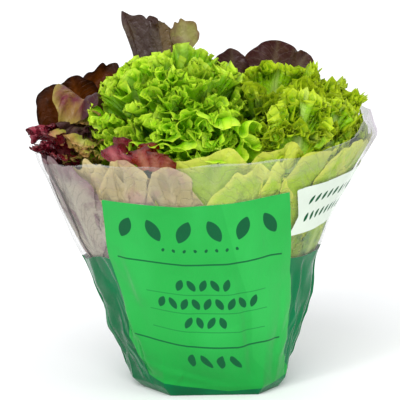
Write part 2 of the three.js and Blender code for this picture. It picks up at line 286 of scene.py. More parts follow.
def make_piece(name, sheets):
    """An object from sheets, each a dict of points (rows, columns, 3) in mm and of other marks."""
    faces, places, first = [], [], 0
    side = math.ceil(math.sqrt(len(sheets)))
    for number, sheet in enumerate(sheets):
        rows, columns, _ = sheet["points"].shape
        faces.append(grid_faces(rows, columns, first))
        first += rows * columns
        up, along = np.meshgrid(np.linspace(0, TILE, rows), np.linspace(0, TILE, columns), indexing="ij")
        places.append(np.stack([(number % side + along) / side, (number // side + up) / side], -1))
    points = np.concatenate([s["points"].reshape(-1, 3) for s in sheets]) * MM
    faces = np.concatenate(faces)
    mesh = bpy.data.meshes.new(name)
    mesh.from_pydata(points.tolist(), [], faces.tolist())
    mesh.polygons.foreach_set("use_smooth", np.ones(len(faces), bool))
    for mark in sheets[0]:
        if mark != "points":
            values = np.concatenate([np.broadcast_to(s[mark], s["points"].shape[:2]).ravel() for s in sheets])
            mesh.attributes.new(mark, "FLOAT", "POINT").data.foreach_set("value", values.astype(np.float32))
    flat = np.concatenate([p.reshape(-1, 2) for p in places])
    mesh.uv_layers.new(name="OFBake").uv.foreach_set("vector", flat[faces.ravel()].astype(np.float32).ravel())
    piece = bpy.data.objects.new(name, mesh)
    bpy.context.collection.objects.link(piece)
    print(f"{name}: {len(sheets)} sheets, {2 * len(faces)} triangles")
    return piece


# %% [markdown]
# ## The film's folds
#
# Film doesn't bend two ways at once, so a sleeve that is pulled tight over lettuce breaks into
# sharp straight folds. Each fold here is a line between two places of the film, and the film rises
# on one side of it and sinks on the other. The ones that show in front are placed, crowded at the
# two bottom corners where the film is gathered, and the rest are scattered by chance.

# %% The film's folds
# From turn and height, to turn and height, then width and depth in mm.
PLACED_FOLDS = [
    (15, 106, 23, 53, 7, 1.5), (23, 53, 35, 6, 8, 1.7), (9, 106, 17, 79, 6, 1.1),
    (-1, 105, -8, 46, 10, 1.1), (21, 163, 29, 120, 7, 1.2), (-38, 188, -39, 162, 4, 1.2),
    (-75, 69, -72, 33, 4, 1.5), (-55, 73, -52, 49, 4, 1.5), (-58, 36, -43, 9, 5, 1.9),
    (-46, 46, -49, 16, 3.5, 1.4), (-42, 14, 8, 6, 4, 1.6), (-31, 25, 27, 6, 4, 1.0),
    (51, 91, 56, 48, 4, 1.2), (59, 98, 63, 47, 4, 1.3), (75, 82, 73, 33, 4, 1.6),
    (59, 73, 64, 22, 3.5, 1.4), (-60, 185, -55, 123, 7, 1.0), (-82, 178, -66, 127, 7, 1.0),
    (32, 194, 40, 169, 5, 1.2), (43, 211, 45, 203, 2.5, 1.2), (57, 209, 60, 200, 2.5, 1.2),
    (46, 192, 52, 176, 3, 1.2), (-15, 18, -21, 8, 3, 1.2), (66, 60, 70, 14, 3.5, 1.5),
]
CHANCE_FOLDS = 56
PANEL_MIDDLE = 5   # degrees


def chance_fold(number):
    """A steep fold at a random place: the lower it starts the deeper, but shallow in front."""
    turn = 360 * scatter(number, 21)
    low = 8 + 150 * scatter(number, 22) ** 1.5
    gathered = 1 - low / 170
    tall = 22 + 50 * scatter(number, 23)
    lean = 16 * (scatter(number, 24) - 0.5)
    in_front = apart(turn, PANEL_MIDDLE) < 42
    depth = 0.3 if in_front else 0.5 + 1.1 * gathered
    return (turn, low, turn + lean, low + tall, 5 + 5 * scatter(number, 25), depth)


FOLDS = PLACED_FOLDS + [chance_fold(n) for n in range(CHANCE_FOLDS)]
print("folds in the film:", len(FOLDS))

# %% [markdown]
# ## What a fold does to the film
#
# A fold lifts the film on one side and sinks it on the other, which is a smooth step. It fades out
# towards both of its ends. A deep fold also gets a painted white highlight line, which stands too
# for film whitened by folding, so how near each point lies to one is kept for the shader. Between
# its folds slack film breaks into flat facets. A few folded waves that run in different ways, one
# on top of the other, give the same look.

# %% What a fold does to the film
MIDDLE_REACH = 90    # mm, the radius that turns a difference in turn into a distance
HIGHLIGHT_FROM = 0.9     # mm, the depth from which a fold gets a painted white highlight line
PAST_ENDS = 0.2      # of a fold's length, over which it fades out past its ends


def fold_relief(turn, height):
    """How far the folds lift the film at each point, and how near each point is to a deep one."""
    lift, near = np.zeros(turn.shape), np.zeros(turn.shape)
    scale = math.radians(MIDDLE_REACH)
    for turn_a, height_a, turn_b, height_b, width, depth in FOLDS:
        across = ((turn - turn_a + 540) % 360 - 180) * scale
        up = height - height_a
        run = np.array([(turn_b - turn_a) * scale, height_b - height_a])
        length = np.hypot(*run)
        run = run / length
        along = np.clip((across * run[0] + up * run[1]) / length, -PAST_ENDS, 1 + PAST_ENDS)
        beside = across * run[1] - up * run[0]
        beyond = np.hypot(across - along * length * run[0], up - along * length * run[1])
        fade = np.sin(np.pi * np.clip((along + PAST_ENDS) / (1 + 2 * PAST_ENDS), 0, 1)) ** 0.5
        lift += depth * fade * np.tanh(2.2 * beside / width) * np.exp(-((beyond / (1.5 * width)) ** 2))
        white = min(max(depth - HIGHLIGHT_FROM, 0), 1)
        near = np.maximum(near, white * fade * np.exp(-((beside / 0.7) ** 2)) * (beyond < width))
    return lift, near


def crumpled(points):
    """Flat facets with straight creases between them: a sum of folded waves in different ways."""
    relief = 0
    for number in range(7):
        way = np.array([scatter(number, salt) - 0.5 for salt in (51, 52, 53)])
        place = points @ (way / np.linalg.norm(way)) / (12 + 14 * scatter(number, 54))
        relief = relief + np.abs((place + scatter(number, 55)) % 2 - 1) - 0.5
    return relief


print("folds that leave a white line:", sum(fold[-1] > HIGHLIGHT_FROM for fold in FOLDS))

# %% [markdown]
# ## The film's grid
#
# The film could be a solid wall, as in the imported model, but real film is about 40 thousandths of
# a millimetre thick. One sheet of faces shows it better: light meets it once, and the leaves stay
# bright behind it. Its rows run from the middle of the base, out to the edge, and up to the rim.
# Its columns lie closer together in front, because the print's edges are there.

# %% The film's grid
BACK_COLUMNS = 120
FRONT_COLUMNS = 280
FILM_COLUMNS = BACK_COLUMNS + FRONT_COLUMNS
BASE_ROWS = 14
WALL_ROWS = 136
SEAMS = (90, 270)    # turns; the grid ends at 450, which is the first seam again
FIN_TURN = 0.9       # degrees on each side of a seam that its fin takes up

turn_line = np.concatenate([np.linspace(90, 270, BACK_COLUMNS, endpoint=False),
                            np.linspace(270, 450, FRONT_COLUMNS + 1)])
for seam in (*SEAMS, 450):
    nearest = np.argsort(np.abs(turn_line - seam))[:3]
    turn_line[nearest] = seam + np.clip(turn_line[nearest] - seam, -FIN_TURN, FIN_TURN) * 0.5
turns = np.broadcast_to(turn_line, (BASE_ROWS - 1 + WALL_ROWS, FILM_COLUMNS + 1))
front_turns = (turns + 180) % 360 - 180

base_share = np.linspace(0.03, 1, BASE_ROWS)[:-1, None]
wall_share = np.linspace(0, 1, WALL_ROWS)[:, None]
rim_wave = 1.1 * np.sin(np.radians(turn_line * 7)) + 0.7 * np.sin(np.radians(turn_line * 17 + 40))
wall_height = wall_share * (rim_height(turn_line) + rim_wave)
heights = np.concatenate([np.zeros((BASE_ROWS - 1, FILM_COLUMNS + 1)), wall_height])
print("film grid:", turns.shape, "points")

# %% [markdown]
# ## How the film lies
#
# The film isn't equally tight everywhere. At the two lower front corners it is gathered, and
# crumples into small facets, and between them the panel is stretched smooth. Above the print the
# leaves lie against the film, so it is drawn in a little, and a limit keeps its folds from
# cutting into them. At the right the rim stands free of the leaves. At both sides the two sheets
# are welded, and stand out as a narrow fin.

# %% How the film lies
BAND_TOP = 112       # mm, the dark print's upper edge
FIN = 2.2            # mm that the welded seams stand out
DEEPEST = 2.4        # mm that the film goes in at most

relief, fold_near = fold_relief(turns, heights)
fold_near = fold_near * (1 - ease(apart(turns, 0), 84, 96))  # the back's mesh is too coarse for it
swell = 1.3 * np.sin(np.radians(turns * 5 + heights * 1.7)) * np.sin(heights / 23 + np.radians(turns * 2))
settled = ease(heights, 1, 22)
gathered = ease(apart(turns, PANEL_MIDDLE), 44, 60) * (1 - ease(heights, 60, BAND_TOP))
standing_free = np.exp(-((apart(turns, 92) / 24) ** 2)) * ease(heights, 176, 196)
slack = 0.35 + 0.6 * gathered + 0.25 * ease(heights, 120, 160)
bare_points = on_sleeve(turns, heights)
facets = slack * crumpled(bare_points) + 0.35 * gathered * crumpled(2.1 * bare_points)
tight = 0.8 + 1.2 * ease(heights, 110, 150)
offset = np.maximum(relief + swell + facets - tight, -DEEPEST)
fin = np.maximum.reduce([np.exp(-((apart(turn_line, seam) / 0.4) ** 2)) for seam in SEAMS])
film_points = on_sleeve(turns, heights, settled * (offset + fin * FIN))
film_points[: BASE_ROWS - 1, :, :2] *= base_share[..., None]
crumple = 0.5 + 0.5 * np.sin(np.radians(turns * 9)) * np.sin(film_points[..., 0] / 6)
film_points[: BASE_ROWS - 1, :, 2] = 0.8 * crumple[: BASE_ROWS - 1] * (1 - base_share**4)
print("the film goes in and out by", round(float(offset.min()), 1), "to", round(float(offset.max()), 1), "mm")

# %% [markdown]
# ## The print's places
#
# The film is printed: a dark green band from the base up, a light green panel in front, and a
# white flag on the right. The print is worked out on the film itself, as how far each point is
# inside each field. A shader then cuts it where that distance is zero, which gives a sharp edge
# on a mesh of any fineness. The places for words carry plain rows of little leaves.

# %% The print's places
PANEL_SIZE = (143, 160)                                                  # mm
PANEL_LEFT = [(12, 45, 66, 114, 161), (-44, -52, -49, -46.5, -39.5)]     # heights, turns
PANEL_RIGHT = [(12, 32, 69, 91, 113, 139, 168), (73, 57.5, 54.5, 51, 45.5, 39.5, 33)]
PANEL_TOP = [(-40, -9, 11, 33), (161, 158.5, 161.5, 168.5)]              # turns, heights
PANEL_BOTTOM = [(-44, -17, 20, 48, 73), (15, 9, 3.5, 6.5, 12)]
FLAG_TOP = [(36, 75, 90), (169.5, 179, 182)]
FLAG_BOTTOM = [(39, 77, 90), (131, 137, 139)]
FLAG_LEFT = [(131, 147, 169.5), (39.5, 42, 36)]
FLAG_RIGHT = 89.5                                                        # turn, just short of the seam
FLAG_DEGREE = 1.9                                                        # mm along the flag for each degree

left_edge, right_edge = np.interp(heights, *PANEL_LEFT), np.interp(heights, *PANEL_RIGHT)
top_edge, bottom_edge = np.interp(front_turns, *PANEL_TOP), np.interp(front_turns, *PANEL_BOTTOM)
panel_x = ((front_turns - left_edge) / (right_edge - left_edge) - 0.5) * PANEL_SIZE[0]
panel_y = (top_edge - heights) / (top_edge - bottom_edge) * PANEL_SIZE[1]
inside_panel = np.minimum.reduce([
    PANEL_SIZE[0] / 2 - np.abs(panel_x), panel_y, PANEL_SIZE[1] - panel_y])
inside_panel[: BASE_ROWS - 1] = -5
band_sinks = 10 * ease(-front_turns, 45, 90) * (1 - ease(-front_turns, 110, 175))
inside_band = BAND_TOP - band_sinks + 0.6 * np.sin(np.radians(turns * 11)) - heights

flag_top, flag_bottom = np.interp(front_turns, *FLAG_TOP), np.interp(front_turns, *FLAG_BOTTOM)
inside_flag = np.minimum.reduce([
    flag_top - heights, heights - flag_bottom,
    (front_turns - np.interp(heights, *FLAG_LEFT)) * FLAG_DEGREE, (FLAG_RIGHT - front_turns) * FLAG_DEGREE])
print("panel:", PANEL_SIZE, "mm, dark band up to", BAND_TOP, "mm")

# %% [markdown]
# ## Little printed leaves
#
# Each mark is an almond: the part that two equal circles share. How far a point is inside an
# almond is one short formula, so rows of them are a loop. The largest row stands at the panel's
# top, with a row of tiny ones below it. Three rows of small ones fill the middle, and one more
# stands below the last ruled line. The flag has two rows of small ones.

# %% Little printed leaves
# Height down the panel, middle, count, spacing, length and width in mm.
LEAF_ROWS = [
    (22, 0, 6, 21.5, 20, 9.5), (38, 0, 8, 7.5, 3.6, 2.4), (68, -2, 5, 8.5, 11, 5.2),
    (84, 0, 9, 8.5, 11, 5.2), (100, -2, 4, 8.5, 11, 5.2), (134, 2, 4, 12, 13, 6.5),
]
LEAF_TILT = math.radians(24)
FLAG_START = 44    # turn that the flag's rows are measured from
FLAG_HEIGHT = 40   # mm
NO_INK = -9        # mm, far outside any mark


def inside_almond(x, y, length, width, tilt):
    """How far inside an upright almond a point is, once the almond is tilted."""
    along = x * math.sin(tilt) + y * math.cos(tilt)
    beside = np.abs(x * math.cos(tilt) - y * math.sin(tilt))
    radius = (length**2 + width**2) / (4 * width)
    return radius - np.hypot(beside + radius - width / 2, along)


inside_ink = np.full(heights.shape, float(NO_INK))
for down, middle, count, spacing, length, width in LEAF_ROWS:
    for number in range(count):
        x = panel_x - middle - (number - (count - 1) / 2) * spacing
        tilt = LEAF_TILT if number % 2 else -LEAF_TILT
        inside_ink = np.maximum(inside_ink, inside_almond(x, panel_y - down, length, width, tilt))
inside_ink = np.where(inside_panel > 0, inside_ink, NO_INK)

flag_x = (front_turns - FLAG_START) * FLAG_DEGREE
flag_y = (flag_top - heights) / (flag_top - flag_bottom) * FLAG_HEIGHT
for down in (13, 27):
    for number in range(9):
        mark = inside_almond(flag_x - 6 - number * 7.5, flag_y - down, 8, 4, -LEAF_TILT)
        inside_ink = np.maximum(inside_ink, np.where(inside_flag > 1, mark, NO_INK))
print("rows of leaves on the panel:", len(LEAF_ROWS))

# %% [markdown]
# ## The film as a piece
#
# The grid becomes a mesh, and takes along all that the shader has to know at each point: how far
# inside each printed field it is, how near a fold and the rim, and where the film is gathered or
# stands free. The piece rides on the pack's one body and stands for the solid sleeve.

# %% The film as a piece
film = make_piece("film_sheet", [{
    "points": film_points, "inside_band": inside_band, "inside_panel": inside_panel,
    "inside_flag": inside_flag, "inside_ink": inside_ink, "panel_x": panel_x, "panel_y": panel_y,
    "fold_near": fold_near, "to_rim": rim_height(turns) - heights, "gathered": gathered,
    "standing_free": standing_free}])
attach(film, "root")
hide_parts("film_sleeve")

# %% [markdown]
# ## Small helpers for shaders
#
# A material is a chain of nodes. These helpers add one node each, so that the materials below
# read as a list of steps: read a mark, cut it at a threshold, mix two colours by it.

# %% Small helpers for shaders
class Shader:
    """A new material, with short ways to add the nodes that this lesson uses."""

    def __init__(self, name):
        self.material = bpy.data.materials.new(name)
        self.material.use_nodes = True
        self.tree = self.material.node_tree
        self.surface = self.tree.nodes["Principled BSDF"]
        self.output = self.tree.nodes["Material Output"]

    def join(self, source, socket):
        """Links a node's output to a socket, or sets the socket to a plain value."""
        if isinstance(source, bpy.types.NodeSocket):
            self.tree.links.new(source, socket)
        else:
            socket.default_value = source

    def mark(self, name):
        node = self.tree.nodes.new("ShaderNodeAttribute")
        node.attribute_name = name
        return node.outputs["Fac"]

    def maths(self, operation, first, second=0.0):
        node = self.tree.nodes.new("ShaderNodeMath")
        node.operation = operation
        self.join(first, node.inputs[0])
        self.join(second, node.inputs[1])
        return node.outputs[0]

    def times(self, first, second):
        return self.maths("MULTIPLY", first, second)

    def between(self, value, low, high, to_low=0.0, to_high=1.0):
        node = self.tree.nodes.new("ShaderNodeMapRange")
        node.interpolation_type = "SMOOTHSTEP"
        for socket, given in zip(node.inputs[:5], (value, low, high, to_low, to_high)):
            self.join(given, socket)
        return node.outputs[0]

    def mix(self, share, first, second):
        node = self.tree.nodes.new("ShaderNodeMix")
        node.data_type = "RGBA"
        self.join(share, node.inputs[0])
        self.join(first, node.inputs[6])
        self.join(second, node.inputs[7])
        return node.outputs[2]

    def noise(self, scale, detail, rough, stretch=(1, 1, 1)):
        place = self.tree.nodes.new("ShaderNodeTexCoord")
        spread = self.tree.nodes.new("ShaderNodeMapping")
        spread.inputs["Scale"].default_value = stretch
        node = self.tree.nodes.new("ShaderNodeTexNoise")
        node.inputs["Scale"].default_value = scale
        node.inputs["Detail"].default_value = detail
        node.inputs["Roughness"].default_value = rough
        self.tree.links.new(place.outputs["Object"], spread.inputs["Vector"])
        self.tree.links.new(spread.outputs["Vector"], node.inputs["Vector"])
        return node.outputs["Fac"]

    def bump(self, height, distance):
        node = self.tree.nodes.new("ShaderNodeBump")
        node.inputs["Distance"].default_value = distance
        self.join(height, node.inputs["Height"])
        return node.outputs["Normal"]


print("shader helper ready")

# %% [markdown]
# ## The print's fields and lines
#
# Each distance that the film carries becomes a share from 0 to 1, with a soft step of a few
# tenths of a millimetre, as ink has. Five ruled lines are added to the little leaves. Each is a
# narrow range of heights on the panel that is cut off at its left and right end.

# %% The print's fields and lines
# Height down the panel, half of the thickness and half of the length in mm, and strength.
RULES = [(50, 0.55, 62, 0.9), (121, 0.55, 62, 0.9), (76, 0.28, 44, 0.45), (92, 0.28, 44, 0.45),
         (108, 0.28, 44, 0.45)]

coat = Shader("printed_film")
band = coat.between(coat.mark("inside_band"), -0.2, 0.2)
panel = coat.between(coat.mark("inside_panel"), -0.2, 0.2)
flag = coat.between(coat.mark("inside_flag"), -0.2, 0.2)
ink = coat.between(coat.mark("inside_ink"), -0.25, 0.25)
for down, half, long, strength in RULES:
    off = coat.maths("ABSOLUTE", coat.maths("SUBTRACT", coat.mark("panel_y"), down))
    line = coat.between(off, half, half + 0.3, 1.0, 0.0)
    end = coat.between(coat.maths("ABSOLUTE", coat.mark("panel_x")), long, long + 1, 1.0, 0.0)
    share = coat.times(coat.times(line, end), strength)
    ink = coat.maths("MAXIMUM", ink, coat.times(share, panel))
print("ruled lines:", len(RULES))

# %% [markdown]
# ## The film's colours
#
# Print on film isn't even, so both greens wander a little. A painted shade makes the panel darker
# towards its foot, as if lit from above, and to the left of a long fold, as a shaded facet. The
# colours lie on each other as the inks do: clear film, the band, the flag, the panel and the dark
# marks. Sharp creases get a painted white highlight on bare film, and a little where the film is
# gathered; the white also stands for film whitened by folding.

# %% The film's colours
FILM_WHITE = paint(190, 190, 186)
FREE_FILM = paint(206, 198, 208)
BAND_GREEN, BAND_LIGHT = paint(0, 92, 52), paint(0, 122, 72)
PANEL_GREEN, PANEL_LIGHT = paint(40, 162, 68), paint(50, 174, 80)
PANEL_SHADED = paint(10, 128, 48)
INK_GREEN = paint(10, 84, 48)
FLAG_WHITE = paint(216, 226, 212)
CREASE_HIGHLIGHT = (0.8, 0.9, 0.86, 1)

shade = coat.noise(22, 2, 0.5, (1, 1, 0.35))
band_colour = coat.mix(coat.between(shade, 0.35, 0.7, 0.0, 0.6), BAND_GREEN, BAND_LIGHT)
panel_colour = coat.mix(coat.between(shade, 0.4, 0.7, 0.0, 0.6), PANEL_GREEN, PANEL_LIGHT)
# Painted shade: the panel darkens towards its foot, as if lit from above.
foot_shade = coat.between(coat.mark("panel_y"), 100, 160, 0.0, 0.6)
panel_colour = coat.mix(foot_shade, panel_colour, PANEL_SHADED)
# Painted shade: a strip of the panel left of a long fold is darker, as a shaded facet.
fold_facet_shade = coat.maths("SUBTRACT", coat.mark("panel_x"), coat.times(coat.mark("panel_y"), 0.15))
panel_colour = coat.mix(coat.between(fold_facet_shade, 17, 18.5, 0.18, 0.0), panel_colour, PANEL_SHADED)

colour = coat.mix(coat.mark("standing_free"), FILM_WHITE, FREE_FILM)
for share, layer in ((band, band_colour), (flag, FLAG_WHITE), (panel, panel_colour), (ink, INK_GREEN)):
    colour = coat.mix(share, colour, layer)
crease_highlight = coat.mark("fold_near")
bare = coat.between(coat.maths("MAXIMUM", panel, band), 0.0, 1.0, 0.7, 0.0)
highlight_share = coat.maths("MAXIMUM", bare, coat.times(coat.mark("gathered"), 0.2))
# Painted highlight: near a deep crease the colour turns white, standing for glints on the fold and for film
# whitened by folding.
colour = coat.mix(coat.times(crease_highlight, highlight_share), colour, CREASE_HIGHLIGHT)
coat.join(colour, coat.surface.inputs["Base Color"])
print("layers of print: band, flag, panel, ink")

# %% [markdown]
# ## How much the film hides
#
# A glass shader would bend the leaves behind it and would be slow, so the film is a glossy surface
# that is partly see-through. Clear film stops very little, and up to a third where it is milky.
# Its cut edge and the hem below it stop more. Its creases stop more too, so that their painted
# white highlight shows, and where the film is seen at a slant it turns more opaque and white, as a
# painted reflection. The part that stands free at the right stops more as well. The dark and the
# white print stop nearly everything, and the panel stops all. The highest share wins at each point.

# %% How much the film hides
milky = coat.between(coat.mark("panel_x"), -40, 70, 0.3, 0.12)
veil = coat.noise(14, 4, 0.6, (1, 1, 0.5))
# Painted reflection: where the film is seen at a slant it is made more opaque and white.
slant = coat.tree.nodes.new("ShaderNodeLayerWeight")
slant.inputs["Blend"].default_value = 0.28
hidden = {
    "free film": coat.times(coat.mark("standing_free"), 0.66),
    # Painted highlight: creases are made opaque, so that their white shows.
    "crease_highlight": coat.times(crease_highlight, 0.75),
    "cut edge": coat.between(coat.mark("to_rim"), 0.5, 1.5, 0.36, 0.0),
    "hem": coat.between(coat.mark("to_rim"), 14, 22, 0.16, 0.0),
    "seen at a slant": coat.times(slant.outputs["Facing"], 0.36),
    "band": coat.times(band, 0.95),
    "flag": coat.times(flag, 0.93),
    "panel": panel,
}
stopped = coat.between(veil, 0.3, 0.75, 0.04, milky)
for share in hidden.values():
    stopped = coat.maths("MAXIMUM", stopped, share)
coat.join(stopped, coat.surface.inputs["Alpha"])
coat.join(coat.between(veil, 0.3, 0.8, 0.08, 0.26), coat.surface.inputs["Roughness"])
coat.join(coat.bump(coat.noise(120, 4, 0.6, (1, 1, 0.3)), 0.0005), coat.surface.inputs["Normal"])
coat.surface.inputs["IOR"].default_value = 1.4
coat.surface.inputs["Specular IOR Level"].default_value = 0.16
film.data.materials.append(coat.material)
print("what hides the leaves:", ", ".join(hidden))

# %% [markdown]
# ## How a leaf grows
#
# A lettuce leaf is a narrow stalk that opens into a fan. Its edge grows faster than its middle, so
# it has too much length for its place and buckles into waves, with smaller waves on them towards
# the edge. The leaf below is a grid: one way runs across the fan, the other out from the heart to
# the edge. It is bent along its midrib first. Then each set of waves is pushed along the surface's
# own normal, as it stands by then, and is also drawn together sideways, so that it folds over.

# %% The parts of a leaf
FAN = math.radians(84)     # half of the fan's angle
STALK = 6                  # mm, half of the stalk's width
STALK_ROWS = [-0.5, -0.15]
CROWDED = 0.6              # brings the blade's rows closer together towards its edge


def steer(points):
    """Unit vectors across the leaf and out of its outer face, at each point of its grid."""
    across, out = np.gradient(points, axis=1), np.gradient(points, axis=0)
    outer = np.cross(across, out)
    return [v / (np.linalg.norm(v, axis=-1, keepdims=True) + 1e-6) for v in (across, outer)]


def midrib(heart, tip, lift, t):
    """Points and directions along a midrib that arches over by lift."""
    t = t[..., None]
    middle = (heart + tip) / 2 + np.array([0, 0, lift])
    place = (1 - t) ** 2 * heart + 2 * t * (1 - t) * middle + t**2 * tip
    way = 2 * (1 - t) * (middle - heart) + 2 * t * (tip - middle)
    return place, way / np.linalg.norm(way, axis=-1, keepdims=True)


def scalloped(u, habit, phase):
    """How much each part of the edge is cut back: 0 is not at all."""
    beat = np.abs(np.sin(np.pi * habit["cuts"] * u + phase + 0.9 * np.sin(4.3 * u + phase)))
    small = np.abs(np.sin(np.pi * 2.6 * habit["cuts"] * u + 3 * phase))
    rims = {
        "toothed": beat**0.8,
        "scalloped": 0.7 * (1 - beat**1.3) + 0.3 * (1 - small),
        "lobed": 1 - beat**2,
    }
    return habit["cut"] * rims[habit["rim"]]


def ruffled(points, u, spread, habit, phase, scale):
    """The leaf with its waves: sets of them, each pushed out along the surface as it is by then."""
    for number, (waves, height, power, fold) in enumerate(habit["ruffles"]):
        across, outer = steer(points)
        beat = phase * (3.1 + number)
        drift = 0.09 * np.sin(4.7 * u + beat) + 0.04 * np.sin(10.3 * u + 2 * beat)
        swing = np.pi * waves * (u + drift) + beat * 5 + 1.6 * spread * np.sin(3.1 * u + beat)
        strong = height * scale * (0.75 + 0.4 * np.sin(5.3 * u + 1.7 * beat)) * spread**power
        points = points + (strong * np.sin(swing))[..., None] * outer
        points = points - (strong * fold * np.sin(2 * swing))[..., None] * across
    return points


print("a leaf has", len(STALK_ROWS), "rows of stalk and then its blade")

# %% [markdown]
# ## One whole leaf
#
# The leaf is laid out flat first: how far out each point lies, cut back where the edge has teeth
# or lobes. Then it is set along the midrib, bowed to a cup, folded along a keel where it has one,
# and blistered. The waves come last. What the shader needs is kept with it: how near the edge a
# point is, how far across, and how near the midrib.

# %% One whole leaf
def grow_leaf(habit, heart, tip, facing, lift=0.0, phase=0.0, size=1.0):
    """The grid of one leaf and its marks, from the point that it grows from to its tip."""
    heart, tip, facing = (np.array(v, float) for v in (heart, tip, facing))
    u = np.linspace(-1, 1, habit["columns"])[None, :]
    out = np.array(STALK_ROWS + list(np.linspace(0, 1, habit["rows"]) ** CROWDED))[:, None]
    spread = np.clip(out, 0, 1)
    span = np.linalg.norm(tip - heart)
    blade = min(habit["blade"] * size, span * 0.9)
    cut = scalloped(u, habit, phase) * spread**3 + habit["round"] * u**4 * spread
    corner = habit.get("corner", 0) * np.exp(-(((u + 0.72) / 0.16) ** 2)) * spread**2
    extent = spread * (1 - cut + corner) * (1 - habit.get("skew", 0) * u)
    angle = u * FAN
    stalk = (span - blade) * np.minimum(1 + out, 1)
    along = stalk + blade * extent * np.cos(angle) ** habit.get("blunt", 0.45)
    side = u * STALK * (1 - 0.5 * spread) + habit["width"] * size / 2 * extent * np.sin(angle)
    place, way = midrib(heart, tip, lift, along / span)
    across = facing - (facing * way).sum(-1, keepdims=True) * way
    across /= np.linalg.norm(across, axis=-1, keepdims=True)
    outer = np.cross(across, way)
    scale = min(size, 1)
    bow = -(side**2) / (2 * habit["cup"]) - habit.get("keel", 0) * np.abs(side)
    bow = bow + habit["curl"] * scale * spread**3
    blisters = np.sin(8 * u + 5 * phase) * np.sin(6 * spread + 3 * phase)
    blisters = blisters + 0.6 * np.sin(17 * u + 2 * phase) * np.sin(13 * spread + 7 * phase)
    bow = bow + habit["pucker"] * scale * blisters * spread
    points = place + across * side[..., None] + outer * bow[..., None]
    points = ruffled(points, u, spread, habit, phase, scale)
    rib = np.exp(-((side / (1.2 + 3.2 * (1 - spread))) ** 2)) * (1 - 0.75 * spread)
    return {"points": points, "edge": spread + 0 * u, "across": u + 0 * out, "rib": rib}


print("a leaf's marks: edge, across, rib")

# %% [markdown]
# ## Held in by the film
#
# Leaves that would grow through the film are pressed flat against its inside instead. Below the
# rim, each point that is near the film or past it is drawn in, the more the further it is out. So
# leaves keep their order and some of their relief, and they spring free above the rim.

# %% Held in by the film
SOFT_ZONE = 0.09     # of the section's reach, in which leaves begin to feel the film
FREE_ABOVE = 12      # mm above the rim at which they no longer do
LOWEST = 4           # mm above the ground


def section_share(points):
    """How far out points lie, 1 being the film, and the section's reach to the side and the depth."""
    x, y, z = (points[..., axis] for axis in range(3))
    left, right, deep = reach(np.clip(z, 0, STATION_HEIGHTS[-1]))
    across = np.where(x > 0, right, left)
    return np.hypot(x / across, y / deep), across, deep


def tuck_in(points, gap, zone=SOFT_ZONE):
    """Draws points in to at least gap millimetres inside the film."""
    x, y, z = (points[..., axis] for axis in range(3))
    share, across, deep = section_share(points)
    limit = 1 - gap / ((across + deep) / 2)
    begin = limit - zone
    pressed = limit - (limit - begin) * np.exp(-(share - begin) / (limit - begin))
    held = np.where(share > begin, pressed / np.maximum(share, 1e-6), 1)
    turn = np.degrees(np.arctan2(x / across, -y / deep))
    hold = 1 - ease(z - rim_height(turn), -2, FREE_ABOVE)
    factor = 1 + hold * (held - 1)
    return np.stack([x * factor, y * factor, np.maximum(z, LOWEST)], -1)


print("a point 200 mm to the front at 100 mm is held at", tuck_in(np.array([[0.0, -200, 100]]), 4).round(1))

# %% [markdown]
# ## Leaf habits
#
# Each lettuce has its own habit. The frilly head has tight frills on its young inner leaves, and
# broad, smooth, deeply waved outer ones. The curly head's leaves are cut into sharp teeth. Oak
# leaves are smooth, with round lobes and hardly a wave. Each set of ruffles is a count of waves
# over the leaf, their height in mm, how sharply they grow towards the edge, and how far they fold.

# %% Habits of the green heads
TIGHT = dict(blade=56, width=80, round=0.12, cuts=9, cut=0.11, rim="scalloped", cup=60, curl=8, pucker=1.6,
             rows=12, columns=200, ruffles=[(3.2, 6, 1.5, 0.15), (8.1, 5.4, 2.2, 0.2), (22, 3.0, 3.2, 0.12)])
WAVY = dict(blade=84, width=116, round=0.15, cuts=4, cut=0.05, rim="scalloped", cup=90, curl=14, pucker=2.4,
            rows=16, columns=150, ruffles=[(1.7, 13, 1.3, 0.2), (3.7, 8.0, 2.0, 0.24), (9, 2.0, 4.5, 0.15)])
BROAD = dict(blade=80, width=108, round=0.15, cuts=6, cut=0.07, rim="scalloped", cup=80, curl=12, pucker=2.4,
             rows=15, columns=160, ruffles=[(2.4, 10, 1.5, 0.2), (5.6, 8.0, 2.3, 0.24), (13, 2.6, 4.5, 0.15)])
CURLY = dict(blade=64, width=84, round=0.15, cuts=19, cut=0.14, rim="toothed", cup=60, curl=8, pucker=1.6,
             rows=12, columns=236, ruffles=[(3.4, 7, 1.5, 0.15), (9.7, 4.4, 2.0, 0.16), (23, 2.8, 2.6, 0.08)])
RIBBED = dict(CURLY, width=64, round=0.75, blunt=0.9, cut=0.2,
              ruffles=[(2.4, 6, 1.6, 0.1), (6.1, 5.0, 1.8, 0.2), (15, 2.8, 3, 0.12)])
print("green habits: tight, wavy, broad, curly, ribbed")

# %% [markdown]
# ## Habits of the red head
#
# All of its smooth leaves start from the oak leaf: a folded one with a sharp corner, an oval one,
# one that is bent over like a hood, and small cupped ones. Its outer leaves are crinkled at the
# edge. The leaves that lie flat behind the film are broad, with blisters and a few low waves.

